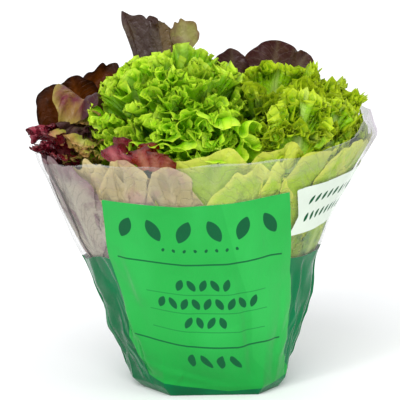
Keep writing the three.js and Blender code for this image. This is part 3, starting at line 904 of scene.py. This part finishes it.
# %% Habits of the red head
OAK = dict(blade=74, width=62, round=0.1, cuts=2.2, cut=0.09, rim="lobed", cup=90, curl=3, pucker=1.2,
           rows=18, columns=72, ruffles=[(1.3, 4.0, 1.5, 0.1), (3.6, 1.4, 3, 0.1)])
FOLDED = dict(OAK, width=36, cup=400, keel=0.25, skew=0.2, corner=0.16, blunt=0.22, cuts=0.6, cut=0.08)
OVAL = dict(OAK, cup=60, blunt=0.6, cuts=1, cut=0.04)
HOODED = dict(OAK, blade=84, width=56, round=0, cup=22, blunt=0.24, cuts=1, cut=0.05, pucker=3,
              ruffles=[(1.3, 3.5, 1.2, 0.1), (3.4, 2.4, 1.6, 0.1)])
CUPPED = dict(OAK, blade=34, width=34, round=0, blunt=0.6, cup=13, curl=-4, pucker=0.8, cuts=1, cut=0.05,
              ruffles=[(1.2, 1.6, 1.0, 0.1), (3.1, 0.6, 2, 0.1)])
CRINKLED = dict(blade=50, width=60, round=0.15, cuts=4, cut=0.1, rim="scalloped", cup=70, curl=6, pucker=2,
                rows=14, columns=120, ruffles=[(2.3, 6, 1.3, 0.2), (6.2, 5.0, 2.0, 0.24), (13, 1.6, 5, 0.15)])
ROUNDED = dict(CRINKLED, rows=9, columns=60, ruffles=CRINKLED["ruffles"][:2])
LEANING = dict(blade=108, width=90, round=0.2, cuts=2, cut=0.05, rim="lobed", cup=400, curl=1, pucker=4,
               rows=14, columns=56, ruffles=[(1.2, 5.0, 1.0, 0.1), (2.7, 3.0, 1.2, 0.25), (7, 1.6, 2, 0.2)])
POINTED = dict(LEANING, blade=88, width=60, round=0.4, blunt=0.9, cut=0.03)
print("red habits: oak, folded, oval, hooded, cupped, crinkled, rounded, leaning, pointed")

# %% [markdown]
# ## Whole heads
#
# A lettuce sets each new leaf about 137.5 degrees round from the last, which keeps the leaves out
# of each other's light. The young ones stand upright in the middle and the old ones lie outside.
# The same rule and the same domes as the solids' are used, so the heads keep their form.

# %% Whole heads
GOLDEN_TURN = 137.508
HEADS = {
    "green": dict(heart=(-10, -8, 62), dome=(-22, -26, 180), radii=(66, 66, 95), full=2.3, salt=3, arch=34,
                  roll=1.3),
    "curly": dict(heart=(20, 0, 62), dome=(68, -13, 176), radii=(76, 77, 84), full=2.3, salt=7, arch=30,
                  roll=1.6),
    "red": dict(heart=(-34, 22, 62), dome=(-56, 34, 176), radii=(84, 68, 62), full=2.3, salt=11, arch=34,
                roll=1.5),
}


def depth_in(points, head):
    """1 on the head's dome, and less inside it."""
    offset = (points - np.array(head["dome"])) / np.array(head["radii"])
    return (np.abs(offset) ** head["full"]).sum(-1) ** (1 / head["full"])


def grow_head(head, habit, count, topmost, lowest, size=1.0, gap=4.0, keep=None):
    """Leaves all round a head, their tips on its dome, from near its top down to its skirt."""
    leaves = []
    dome, radii, salt = np.array(head["dome"], float), np.array(head["radii"], float), head["salt"]
    for number in range(count):
        down = math.radians(topmost + (lowest - topmost) * math.sqrt((number + 0.5) / count))
        turn = math.radians(number * GOLDEN_TURN + 30 * scatter(number, salt))
        way = np.array([math.cos(turn) * math.sin(down), math.sin(turn) * math.sin(down), math.cos(down)])
        to_dome = (np.abs(way) ** head["full"]).sum() ** (-1 / head["full"])
        near = 0.88 + 0.16 * scatter(number, salt + 2)
        tip = dome + radii * to_dome * near * way
        if keep and not keep(tip):
            continue
        roll = head["roll"] * (scatter(number, salt + 6) - 0.5)
        facing = (-math.sin(turn) * math.cos(roll), math.cos(turn) * math.cos(roll), math.sin(roll))
        leaf = grow_leaf(
            habit, head["heart"], tip, facing, lift=head["arch"] * math.sin(down),
            phase=6.28 * scatter(number, salt + 1), size=size * (0.9 + 0.2 * scatter(number, salt + 3)))
        leaf["points"] = tuck_in(leaf["points"], gap + 4 * scatter(number, salt + 4))
        # How deep in the head a point lies; the finish darkens it there as a painted shade.
        leaf["depth_shade"] = depth_in(leaf["points"], head)
        leaf["tone"] = scatter(number, salt + 5)
        leaves.append(leaf)
    return leaves


print("heads:", ", ".join(HEADS))

# %% [markdown]
# ## The frilly head and the curly head
#
# Each head is grown twice, as upright leaves inside and leaning ones outside. The frilly head's
# inner leaves are smaller and more tightly frilled, and the curly head's are all alike. Where
# another head stands, where a leaf is set one by one later on, or where one behind has to stay in
# view, the rule's leaves are left out. Each of these places is a test of the leaf's tip.

# %% The frilly head and the curly head
# Places in the curly head, and how wide, where leaves that are set one by one show whole.
HOLLOWS = [((62, -80, 212), 22), ((51, 1, 252), 8)]


def beside_green(tip):
    """True where a curly leaf's tip lies neither inside the green head nor in a hollow."""
    free = all(np.linalg.norm(tip - np.array(place)) > wide for place, wide in HOLLOWS)
    return free and (tip[0] > 30 or (tip[0] > 2 and tip[1] > -6))


def beside_brown(tip):
    """True where a green leaf's tip leaves the brown leaf behind the head's upper left in view."""
    return not (tip[0] < -56 and tip[2] > 230)


def above_red_tips(tip):
    """True where a green leaf's tip leaves room for the red tips at the rim's front left."""
    return not (tip[1] < -55 and -84 < tip[0] < -14 and tip[2] < 208)


green_inner = grow_head(HEADS["green"], TIGHT, 38, 3, 74, gap=8, keep=beside_brown)
green_outer = grow_head(HEADS["green"], BROAD, 36, 58, 102, gap=10, keep=above_red_tips)
curly_inner = grow_head(HEADS["curly"], CURLY, 30, 4, 66, gap=3, keep=beside_green)
curly_outer = grow_head(HEADS["curly"], CURLY, 34, 58, 102, gap=3, keep=beside_green)
print("leaves:", len(green_inner), len(green_outer), "frilly,", len(curly_inner), len(curly_outer), "curly")

# %% [markdown]
# ## Veins, and light through a leaf
#
# Side veins leave the midrib and run up and out to the edge. A wave along that way, cut to thin
# lines, draws them, and soft noise keeps them from being ruled. A fresh leaf also lets light
# through, and glows yellow-green where the light comes from behind. So its satin surface is mixed
# with a translucent one.

# %% Veins, and light through a leaf
VEINS_OUTWARD = 9    # side veins that are met on the way from the stalk to the edge


def side_veins(skin, edge, patches, strength):
    """How strongly each point lies on a side vein."""
    aside = skin.times(skin.maths("ABSOLUTE", skin.mark("across")), 0.7)
    outward = skin.maths("ADD", skin.maths("SUBTRACT", edge, aside), skin.times(patches, 0.3))
    wave = skin.maths("SINE", skin.times(outward, VEINS_OUTWARD * math.pi))
    return skin.between(skin.maths("ABSOLUTE", wave), 0.0, 0.3, strength, 0.0)


def let_light_through(skin, colour, rim, glow):
    """Mixes the surface with a translucent one, whose colour is halfway to the edge's."""
    through = skin.tree.nodes.new("ShaderNodeBsdfTranslucent")
    skin.join(skin.mix(0.5, colour, rim), through.inputs["Color"])
    both = skin.tree.nodes.new("ShaderNodeMixShader")
    both.inputs[0].default_value = glow
    skin.tree.links.new(skin.surface.outputs[0], both.inputs[1])
    skin.tree.links.new(through.outputs[0], both.inputs[2])
    skin.tree.links.new(both.outputs[0], skin.output.inputs["Surface"])


print("side veins on each side of a midrib:", VEINS_OUTWARD)

# %% [markdown]
# ## Leaf finishes
#
# One function makes every leaf's finish from its colours. They run from deep inside the head to
# the blade and to the ruffled edge, and pale along the ribs. Deep inside a head the colour turns
# darker, a painted shade. The green leaves' paler edge is their own, and partly a painted
# highlight where the frills catch the light. Some leaves have blotches, or one side of another
# colour. Soft noise makes each of them uneven, and each leaf is a little lighter or darker than the
# next. The noise and the veins also give the blade its fine relief.

# %% Leaf finishes
def leaf_finish(name, deep, body, rim, rib, glow=0.35, rough=0.42, rim_from=0.72, blotch=None, flank=None,
                gloss=0.36, veined=0.3):
    """A leaf material from its colours: deep inside (a painted shade), the blade, the edge, the midrib and
    one side.
    """
    deep, body, rim, rib = (paint(*given) for given in (deep, body, rim, rib))
    skin = Shader(name)
    edge = skin.mark("edge")
    patches, grain = skin.noise(45, 4, 0.6), skin.noise(220, 3, 0.6)
    # Painted shade: inside a head the colour turns to the darker deep one.
    colour = skin.mix(skin.between(skin.mark("depth_shade"), 0.62, 1.0), deep, body)
    towards_edge = skin.maths("ADD", edge, skin.times(patches, 0.2))
    # The paler edge is the leaf's own; on the green leaves it is also a painted highlight where the frills
    # catch the light.
    colour = skin.mix(skin.between(towards_edge, rim_from + 0.1, 1.12), colour, rim)
    if blotch:
        colour = skin.mix(skin.between(patches, 0.5, 0.66, 0.0, 0.85), colour, paint(*blotch))
    if flank:
        beside = skin.maths("ADD", skin.mark("across"), skin.times(patches, 0.5))
        colour = skin.mix(skin.between(beside, 0.25, 0.5), colour, paint(*flank))
    veins = side_veins(skin, edge, patches, veined)
    colour = skin.mix(veins, colour, rib)
    colour = skin.mix(skin.times(skin.mark("rib"), 0.8), colour, rib)
    tint = skin.tree.nodes.new("ShaderNodeHueSaturation")
    uneven = skin.maths("ADD", skin.mark("tone"), skin.times(grain, 0.5))
    skin.join(skin.between(uneven, 0.0, 1.5, 0.78, 1.2), tint.inputs["Value"])
    skin.join(colour, tint.inputs["Color"])
    skin.join(tint.outputs["Color"], skin.surface.inputs["Base Color"])
    skin.join(skin.between(grain, 0.3, 0.7, rough - 0.08, rough + 0.1), skin.surface.inputs["Roughness"])
    relief = skin.maths("ADD", skin.noise(90, 3, 0.5), skin.times(grain, 0.4))
    relief = skin.maths("SUBTRACT", relief, skin.times(veins, 0.5))
    skin.join(skin.bump(relief, 0.0026), skin.surface.inputs["Normal"])
    skin.surface.inputs["Specular IOR Level"].default_value = gloss
    let_light_through(skin, tint.outputs["Color"], rim, glow)
    return skin.material


# The bright edges of the frilly and curly leaves are partly a painted highlight where frills catch the light.
GREEN_LEAF = leaf_finish("frilly_green_leaf", (50, 116, 0), (142, 206, 0), (208, 238, 60), (196, 226, 110),
                         glow=0.34, rim_from=0.82, veined=0.2)
CURLY_LEAF = leaf_finish("curly_green_leaf", (48, 100, 0), (146, 200, 0), (196, 218, 36), (222, 236, 150),
                         glow=0.3, rim_from=0.78, veined=0.2)
print("finishes so far: frilly green, curly green")

# %% [markdown]
# ## Dress the green and curly heads
#
# Each group of leaves becomes one piece, with one finish. It rides on the pack's body and stands
# for the solid that it covers.

# %% Dress the green and curly heads
def dress(name, sheets, finish, slot, *nodes):
    """Makes a piece of leaves, gives it its finish, and has it stand for its solids."""
    piece = make_piece(name, sheets)
    piece.data.materials.append(finish)
    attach(piece, "root")
    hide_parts(*nodes)


dress("frilly_inner_leaves", green_inner, GREEN_LEAF, "green_leaf", "green_head")
dress("frilly_outer_leaves", green_outer, GREEN_LEAF, "green_leaf", "green_head")
dress("curly_inner_leaves", curly_inner, CURLY_LEAF, "curly_leaf", "curly_head")
dress("curly_outer_leaves", curly_outer, CURLY_LEAF, "curly_leaf", "curly_head")

# %% [markdown]
# ## Leaves set one by one
#
# Some leaves catch the eye, and a rule doesn't put them in the right place. So these are set one by
# one: where the tip is, which way the leaf lies across, how much it arches, how large it is and
# how its waves begin. In front of the frilly head five broad leaves hang over in deep waves. The
# curly head shows two toothed leaves whole, each with its pale rib, and one more at its top.

# %% Leaves set one by one
def set_leaves(habit, rows, salt):
    """Single leaves, each from tip, facing, lift, size, phase and, where it has its own, heart."""
    leaves = []
    for number, (tip, facing, lift, size, phase, *heart) in enumerate(rows):
        leaf = grow_leaf(habit, heart[0] if heart else HEADS["red"]["heart"], tip, facing, lift, phase, size)
        leaf["points"] = tuck_in(leaf["points"], 4)
        leaf["depth_shade"] = np.ones(leaf["points"].shape[:2])
        leaf["tone"] = scatter(number, salt)
        leaves.append(leaf)
    return leaves


green_front = set_leaves(WAVY, [
    ((-14, -97, 216), (0.9, 0.1, 0.3), 40, 0.8, 1.1, (-10, -20, 110)),
    ((12, -92, 228), (0.9, 0.2, -0.3), 40, 0.8, 2.7, (0, -20, 120)),
    ((34, -84, 218), (0.9, 0.4, -0.2), 36, 0.8, 4.4, (6, -16, 110)),
    ((4, -100, 206), (1, 0, 0.1), 30, 0.8, 5.7, (0, -24, 100)),
    ((-40, -92, 218), (0.9, -0.2, 0.3), 36, 0.7, 3.4, (-20, -20, 110)),
], 40)
curly_front = set_leaves(RIBBED, [
    ((76, -64, 244), (1, 0.2, 0.1), 8, 1.0, 2.1, (69, -86, 178)),
    ((106, -50, 236), (0.8, 0.6, 0), 8, 0.8, 4.3, (92, -66, 186)),
], 42)
curly_front += set_leaves(CURLY, [((58, -12, 261), (1, 0.3, 0.2), 8, 0.8, 1.3, (50, -6, 150))], 46)
dress("frilly_front_leaves", green_front, GREEN_LEAF, "green_leaf", "green_head")
dress("curly_front_leaves", curly_front, CURLY_LEAF, "curly_leaf", "curly_head")

# %% [markdown]
# ## The red head's tall leaves
#
# The oak-leaf head shows as a few single leaves. Dark smooth ones stand up behind the others: a
# tall one that is folded along its midrib, with a narrower one behind it, and three round ones at
# the right. A small olive one stands between them. At the left brown ones arch over. In front of
# them one leaf is bent like a hood, crimson with olive patches and dark purple at one side, and
# two dark crinkled ones lie beside it.

# %% The red head's tall leaves
tall_standing = set_leaves(FOLDED, [
    ((-43, 60, 290), (0.97, 0.1, -0.2), 0, 1.0, 0.0, (-26, 48, 205)),
    ((-38, 66, 289), (1, 0, 0.1), 0, 0.6, 1.7, (-28, 60, 215)),
], 30)
dark_standing = set_leaves(OVAL, [
    ((24, 66, 263), (1, 0.2, 0.2), 0, 0.5, 1.2, (20, 60, 180)),
    ((62, 72, 272), (1, 0.1, -0.1), 0, 0.92, 3.4, (50, 66, 180)),
    ((87, 76, 259), (0.7, 0, -0.7), 0, 0.4, 1.9, (58, 68, 210)),
], 31)
olive_standing = set_leaves(OAK, [((-15, 62, 288), (1, 0, 0), 0, 0.34, 2.0, (-16, 50, 180))], 36)
brown_arching = set_leaves(OAK, [((-64, 44, 250), (0.84, 0.1, -0.55), 0, 0.72, 2.1, (-108, 40, 186))], 32)
brown_arching += set_leaves(OVAL, [
    ((-106, 26, 245), (1, 0.1, 0.2), 0, 0.6, 5.0, (-92, 28, 190)),
    ((-122, 4, 240), (0.95, 0.1, 0.3), 4, 0.54, 2.6, (-106, 8, 185)),
], 37)
hooded = set_leaves(HOODED, [((-102, -38, 211), (0.92, -0.38, 0), 70, 0.7, 2.2, (-80, 12, 180))], 38)
dark_crinkled = set_leaves(CRINKLED, [
    ((-100, -48, 210), (0.85, -0.5, 0), 24, 0.6, 1.0, (-76, 0, 180)),
    ((-88, -54, 212), (0.8, -0.6, 0.2), 20, 0.55, 3.0, (-74, -10, 170)),
], 35)
print("standing:", len(tall_standing) + len(dark_standing) + len(olive_standing),
      "leaves, arching at the left:", len(brown_arching) + len(hooded) + len(dark_crinkled))

# %% [markdown]
# ## The red head's leaves at the rim
#
# Crinkled crimson leaves hang over the rim at the left, with blushed green ones between them. At
# the front left only the tips of a few look out between the green head and the film. They are
# small and cupped: dark red ones, and russet ones beside them. All the rest of the head is a ring
# of blushed leaves that grows by the rule, and is left out where the green head stands.

# %% The red head's leaves at the rim
crimson = set_leaves(CRINKLED, [
    ((-134, -14, 206), (0.5, -0.8, 0.3), 24, 0.6, 4.1, (-100, 0, 160)),
    ((-126, -24, 210), (0.8, -0.5, 0.1), 24, 0.6, 2.1, (-96, 0, 160)),
    ((-134, -30, 196), (0.7, -0.7, 0.3), 24, 0.6, 1.3, (-96, -10, 150)),
    ((-124, -38, 202), (0.9, -0.4, 0), 20, 0.6, 5.6, (-90, -16, 150)),
    ((-118, -48, 192), (0.8, -0.6, 0.2), 16, 0.6, 0.2, (-88, -24, 150)),
    ((-130, -22, 192), (0.7, -0.7, 0.3), 16, 0.6, 3.2, (-96, -4, 150)),
], 33)
red_tips = set_leaves(CUPPED, [
    ((-70, -96, 203), (0.95, -0.3, 0.5), 6, 0.5, 0.9, (-64, -86, 184)),
    ((-61, -99, 200), (0.95, -0.3, -0.5), 6, 0.42, 2.4, (-58, -88, 184)),
    ((-62, -90, 210), (0.9, -0.4, 0), 4, 0.36, 3.9, (-60, -82, 194)),
], 39)
russet_tips = set_leaves(CUPPED, [
    ((-48, -103, 203), (1, -0.1, 0.5), 6, 0.5, 2.9, (-44, -94, 182)),
    ((-38, -104, 200), (1, 0, -0.5), 6, 0.46, 4.6, (-36, -95, 182)),
    ((-26, -105, 196), (0.9, 0, -0.7), 4, 0.36, 1.6, (-30, -96, 182)),
    ((-42, -98, 207), (1, 0, 0.1), 4, 0.34, 0.3, (-40, -91, 190)),
], 43)
blushed = set_leaves(CRINKLED, [
    ((-108, -44, 205), (0.7, -0.7, 0), 30, 0.75, 2.2, (-70, 0, 160)),
    ((-96, -58, 205), (0.8, -0.6, 0), 30, 0.8, 0.3, (-60, -10, 150)),
    ((-86, -66, 198), (0.9, -0.5, 0), 24, 0.7, 1.3, (-60, -16, 150)),
    ((-100, -30, 216), (0.8, -0.6, 0.2), 34, 0.7, 3.3, (-60, 0, 170)),
    ((-102, -54, 192), (0.8, -0.6, 0.1), 20, 0.6, 5.1, (-70, -20, 140)),
], 34)
blushed += grow_head(HEADS["red"], ROUNDED, 30, 20, 104, size=1.2,
                     keep=lambda tip: tip[1] > 10 or tip[0] < -70)
print("leaves at the rim:", len(crimson) + len(red_tips) + len(russet_tips) + len(blushed))

# %% [markdown]
# ## Finishes of the red head
#
# A red lettuce makes its red where the sun meets it, so the leaves turn from brown and purple
# outside to green at the heart. The brown and the round dark ones are dull, and the tall, the
# crimson and the russet ones are glossy. In the hooded leaf and the tall ones, one side of the
# blade has a colour of its own.

# %% Finishes of the red head
DARK_LEAF = leaf_finish("dark_purple_leaf", (60, 42, 30), (64, 40, 36), (58, 26, 28), (120, 104, 80),
                        glow=0.2, rough=0.34, blotch=(76, 52, 32), gloss=0.24, veined=0.14)
TALL_LEAF = leaf_finish("tall_dark_leaf", (60, 42, 30), (66, 46, 38), (60, 34, 28), (120, 104, 80),
                        glow=0.2, rough=0.3, blotch=(80, 64, 40), flank=(104, 80, 40), gloss=0.5,
                        veined=0.14)
BROWN_LEAF = leaf_finish("red_brown_leaf", (50, 22, 4), (84, 38, 2), (36, 14, 6), (120, 64, 16),
                         glow=0.25, rough=0.36, blotch=(48, 22, 4), gloss=0.16, veined=0.2)
OLIVE_LEAF = leaf_finish("olive_leaf", (110, 112, 50), (158, 156, 84), (130, 104, 62), (180, 174, 120),
                         rough=0.4, blotch=(120, 92, 70))
HOOD_LEAF = leaf_finish("hooded_leaf", (140, 110, 40), (112, 30, 54), (164, 144, 66), (170, 140, 80),
                        glow=0.2, rough=0.36, rim_from=0.8, blotch=(150, 112, 50), flank=(70, 22, 34),
                        veined=0.15)
CRIMSON_LEAF = leaf_finish("crimson_leaf", (96, 104, 40), (124, 12, 34), (80, 2, 18), (200, 110, 110),
                           glow=0.16, rough=0.2, rim_from=0.66, blotch=(170, 60, 80), gloss=0.6,
                           veined=0.1)
RUSSET_LEAF = leaf_finish("russet_leaf", (120, 60, 40), (136, 20, 10), (76, 4, 8), (190, 120, 90),
                          glow=0.1, rough=0.2, rim_from=0.62, blotch=(140, 58, 20), gloss=0.6,
                          veined=0.1)
BLUSHED_LEAF = leaf_finish("blushed_leaf", (130, 130, 40), (182, 190, 70), (176, 130, 76), (220, 220, 140),
                           glow=0.3, rough=0.38, rim_from=0.7, blotch=(158, 92, 76))
print("finishes of the red head: dark, tall, brown, olive, hooded, crimson, russet, blushed")

# %% [markdown]
# ## Dress the red head
#
# Leaves that share a finish are one piece, and all of them stand for the one solid head.

# %% Dress the red head
for name, sheets, finish in (
    ("olive_standing_leaf", olive_standing, OLIVE_LEAF),
    ("tall_standing_leaves", tall_standing, TALL_LEAF),
    ("dark_standing_leaves", dark_standing + dark_crinkled, DARK_LEAF),
    ("brown_arching_leaves", brown_arching, BROWN_LEAF),
    ("hooded_leaf", hooded, HOOD_LEAF),
    ("crimson_rim_leaves", crimson + red_tips, CRIMSON_LEAF),
    ("russet_tips", russet_tips, RUSSET_LEAF),
    ("blushed_leaves", blushed, BLUSHED_LEAF),
):
    dress(name, sheets, finish, "red_leaf", "red_head")

# %% [markdown]
# ## Leaves pressed against the film
#
# Behind the clear part of the film lie the heads' oldest leaves, flattened by it: pale beige and
# mauve ones to the left, and light yellow-green ones to the right. Below the flag small frilled
# ones show. They start low against the sleeve's inside, and their tips are set at a turn and a
# height. Each has its own gap to the film, so they overlap in order. Behind the dark print they
# keep further away, where nobody sees them and the film is folded most.

# %% Leaves pressed against the film
PRESSED_ZONE = 0.02     # of the section's reach, in which a pressed leaf is flattened
PRESSED_DEPTH = 0.1     # of it, over which a pressed leaf darkens with painted shade, the further it lies in from the film
PRESSED_FROM = 50.0     # mm, the height that a pressed leaf grows from
PRINT_GAP = 5           # mm more, behind the dark print


def press_leaves(habit, rows, salt):
    """Leaves from turn, height of the tip, size, gap to the film and lean to the right."""
    leaves = []
    for number, (turn, height, size, gap, lean) in enumerate(rows):
        tip = on_sleeve(np.array(float(turn)), np.array(float(height)), -gap)
        heart = on_sleeve(np.array(float(turn - lean)), np.array(PRESSED_FROM), -gap)
        swing = math.radians(turn)
        facing = (math.cos(swing), math.sin(swing), 0)
        leaf = grow_leaf(habit, heart, tip, facing, 0, 6.28 * scatter(number, salt + 1), size)
        behind_print = 1 - ease(leaf["points"][..., 2], BAND_TOP - 20, BAND_TOP)
        leaf["points"] = tuck_in(leaf["points"], gap + PRINT_GAP * behind_print, PRESSED_ZONE)
        # Painted shade: a pressed leaf darkens where it lies further in from the film.
        within = 1 - section_share(leaf["points"])[0] - gap / 100
        leaf["depth_shade"] = 1 - 0.4 * np.clip(within / PRESSED_DEPTH, 0, 1)
        leaf["tone"] = scatter(number, salt + 2)
        leaves.append(leaf)
    return leaves


beige = press_leaves(POINTED, [(-27, 197, 0.9, 3, 16), (-13, 192, 0.8, 3, -18), (-38, 188, 0.9, 5, -12)], 41)
beige += press_leaves(LEANING, [(-20, 182, 0.7, 8, 10), (-44, 192, 0.7, 8, 8)], 44)
mauve = press_leaves(LEANING, [
    (-58, 188, 0.8, 3, 8), (-72, 190, 0.9, 3.5, -10), (-88, 194, 0.9, 2, 6), (-66, 164, 0.8, 5, 14),
    (-52, 168, 0.8, 6, -6), (-80, 156, 0.8, 4, -8), (-94, 166, 0.9, 2.2, 4), (-102, 196, 1.0, 2, 10),
    (-126, 188, 1.1, 5, -8), (-148, 192, 1.1, 4, 6)], 45)
yellow = press_leaves(LEANING, [
    (5, 205, 1.1, 6, 10), (22, 190, 0.8, 3, 24), (35, 201, 0.8, 6, -14), (48, 203, 0.9, 3.5, 8),
    (64, 206, 1.0, 4.5, -8), (28, 172, 0.8, 9, -10), (86, 208, 1.0, 4, 6), (108, 208, 1.1, 6, -6),
    (130, 205, 1.1, 5, 8), (152, 202, 1.1, 6, 4), (174, 200, 1.1, 4, -8), (196, 198, 1.1, 9, 6),
    (29, 207, 0.7, 8, 0)], 49)
under_flag = press_leaves(CRINKLED, [
    (45, 135, 0.55, 2.7, 6), (52, 126, 0.45, 2.8, -6), (63, 137, 0.5, 2.7, 4),
    (86, 156, 0.9, 3.5, 0), (74, 146, 0.7, 3.2, 4)], 47)
print("pressed leaves:", len(beige) + len(mauve) + len(yellow) + len(under_flag))

# %% [markdown]
# ## Finishes of the pressed leaves
#
# A leaf that lies in the dark behind others fades: it loses its green first, and its veins stay.
# So these are pale, with veins that show well. The beige ones are flushed pink in patches and the
# mauve ones lilac. Those of the green heads keep a light yellow-green, and the frilled ones have
# deeper green patches.

# %% Finishes of the pressed leaves
BEIGE_LEAF = leaf_finish("beige_leaf", (130, 106, 78), (192, 174, 122), (222, 202, 142), (226, 210, 170),
                         glow=0.3, blotch=(190, 150, 130), rim_from=0.84)
MAUVE_LEAF = leaf_finish("mauve_leaf", (112, 92, 86), (186, 174, 156), (146, 108, 116), (200, 194, 170),
                         glow=0.25, blotch=(126, 94, 98))
YELLOW_LEAF = leaf_finish("yellow_green_leaf", (84, 120, 8), (172, 206, 24), (224, 226, 90), (216, 228, 120),
                          glow=0.34, blotch=(204, 214, 76), rim_from=0.84)
FRILLED_LEAF = leaf_finish("frilled_pressed_leaf", (30, 84, 46), (150, 186, 30), (212, 220, 96),
                           (190, 210, 110), glow=0.3, blotch=(72, 130, 80), rim_from=0.8)
dress("beige_pressed_leaves", beige, BEIGE_LEAF, "red_leaf", "red_head", "green_head")
dress("mauve_pressed_leaves", mauve, MAUVE_LEAF, "red_leaf", "red_head")
dress("yellow_pressed_leaves", yellow, YELLOW_LEAF, "green_leaf", "green_head", "curly_head")
dress("frilled_pressed_leaves", under_flag, FRILLED_LEAF, "curly_leaf", "curly_head")

# %% [markdown]
# ## Stalks inside the printed part
#
# The roots and stalks don't show behind the print. What fills the sleeve there is one plain,
# uneven bundle a little inside the film, which keeps the light from shining through the print.

# %% Stalks inside the printed part
BUNDLE_TOP = 150     # mm
BUNDLE_GAP = 11      # mm between the bundle and the film, low down
BUNDLE_TAPER = 26    # mm that it draws in towards its top

bundle_turns = np.linspace(0, 360, 97)[None, :]
bundle_share = np.linspace(0, 1, 40)[:, None]
bundle_heights = 3 + bundle_share * (BUNDLE_TOP - 3) + 0 * bundle_turns
uneven = 3 * np.sin(np.radians(bundle_turns * 9)) * np.sin(bundle_heights / 19)
bundle_wall = on_sleeve(bundle_turns, bundle_heights, -BUNDLE_GAP - uneven - BUNDLE_TAPER * bundle_share**3)
cap = np.linspace(1, 0.02, 8)[1:, None, None]
cap_scale = np.concatenate([cap, cap, 0 * cap + 1], -1)
cap_points = bundle_wall[-1] * cap_scale
cap_points[..., 2] += 10 * (1 - cap[..., 0])
sole_points = (bundle_wall[0] * cap_scale)[::-1]
bundle = {"points": np.concatenate([sole_points, bundle_wall, cap_points]),
          "edge": 0.3, "across": 0.0, "rib": 0.0, "depth_shade": 0.7, "tone": 0.4}
STALKS = leaf_finish("stalks", (60, 100, 24), (96, 130, 44), (120, 150, 60), (170, 190, 110))
dress("stalk_bundle", [bundle], STALKS, "green_leaf", "green_head", "curly_head", "red_head")

# %% [markdown]
# ## Finish
#
# The dressed pack has to keep the solids' size, so both boxes are printed.

# %% Finish
dressed_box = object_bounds()
sizes = {"cad": [list(corner) for corner in cad_box], "visual": [list(corner) for corner in dressed_box]}
for name, box in sizes.items():
    print(name, "box:", [[round(v, 4) for v in corner] for corner in box])
pieces = [thing for thing in bpy.data.objects if thing.type == "MESH" and "OFBake" in thing.data.uv_layers]
print("triangles in all new pieces:", 2 * sum(len(piece.data.polygons) for piece in pieces))
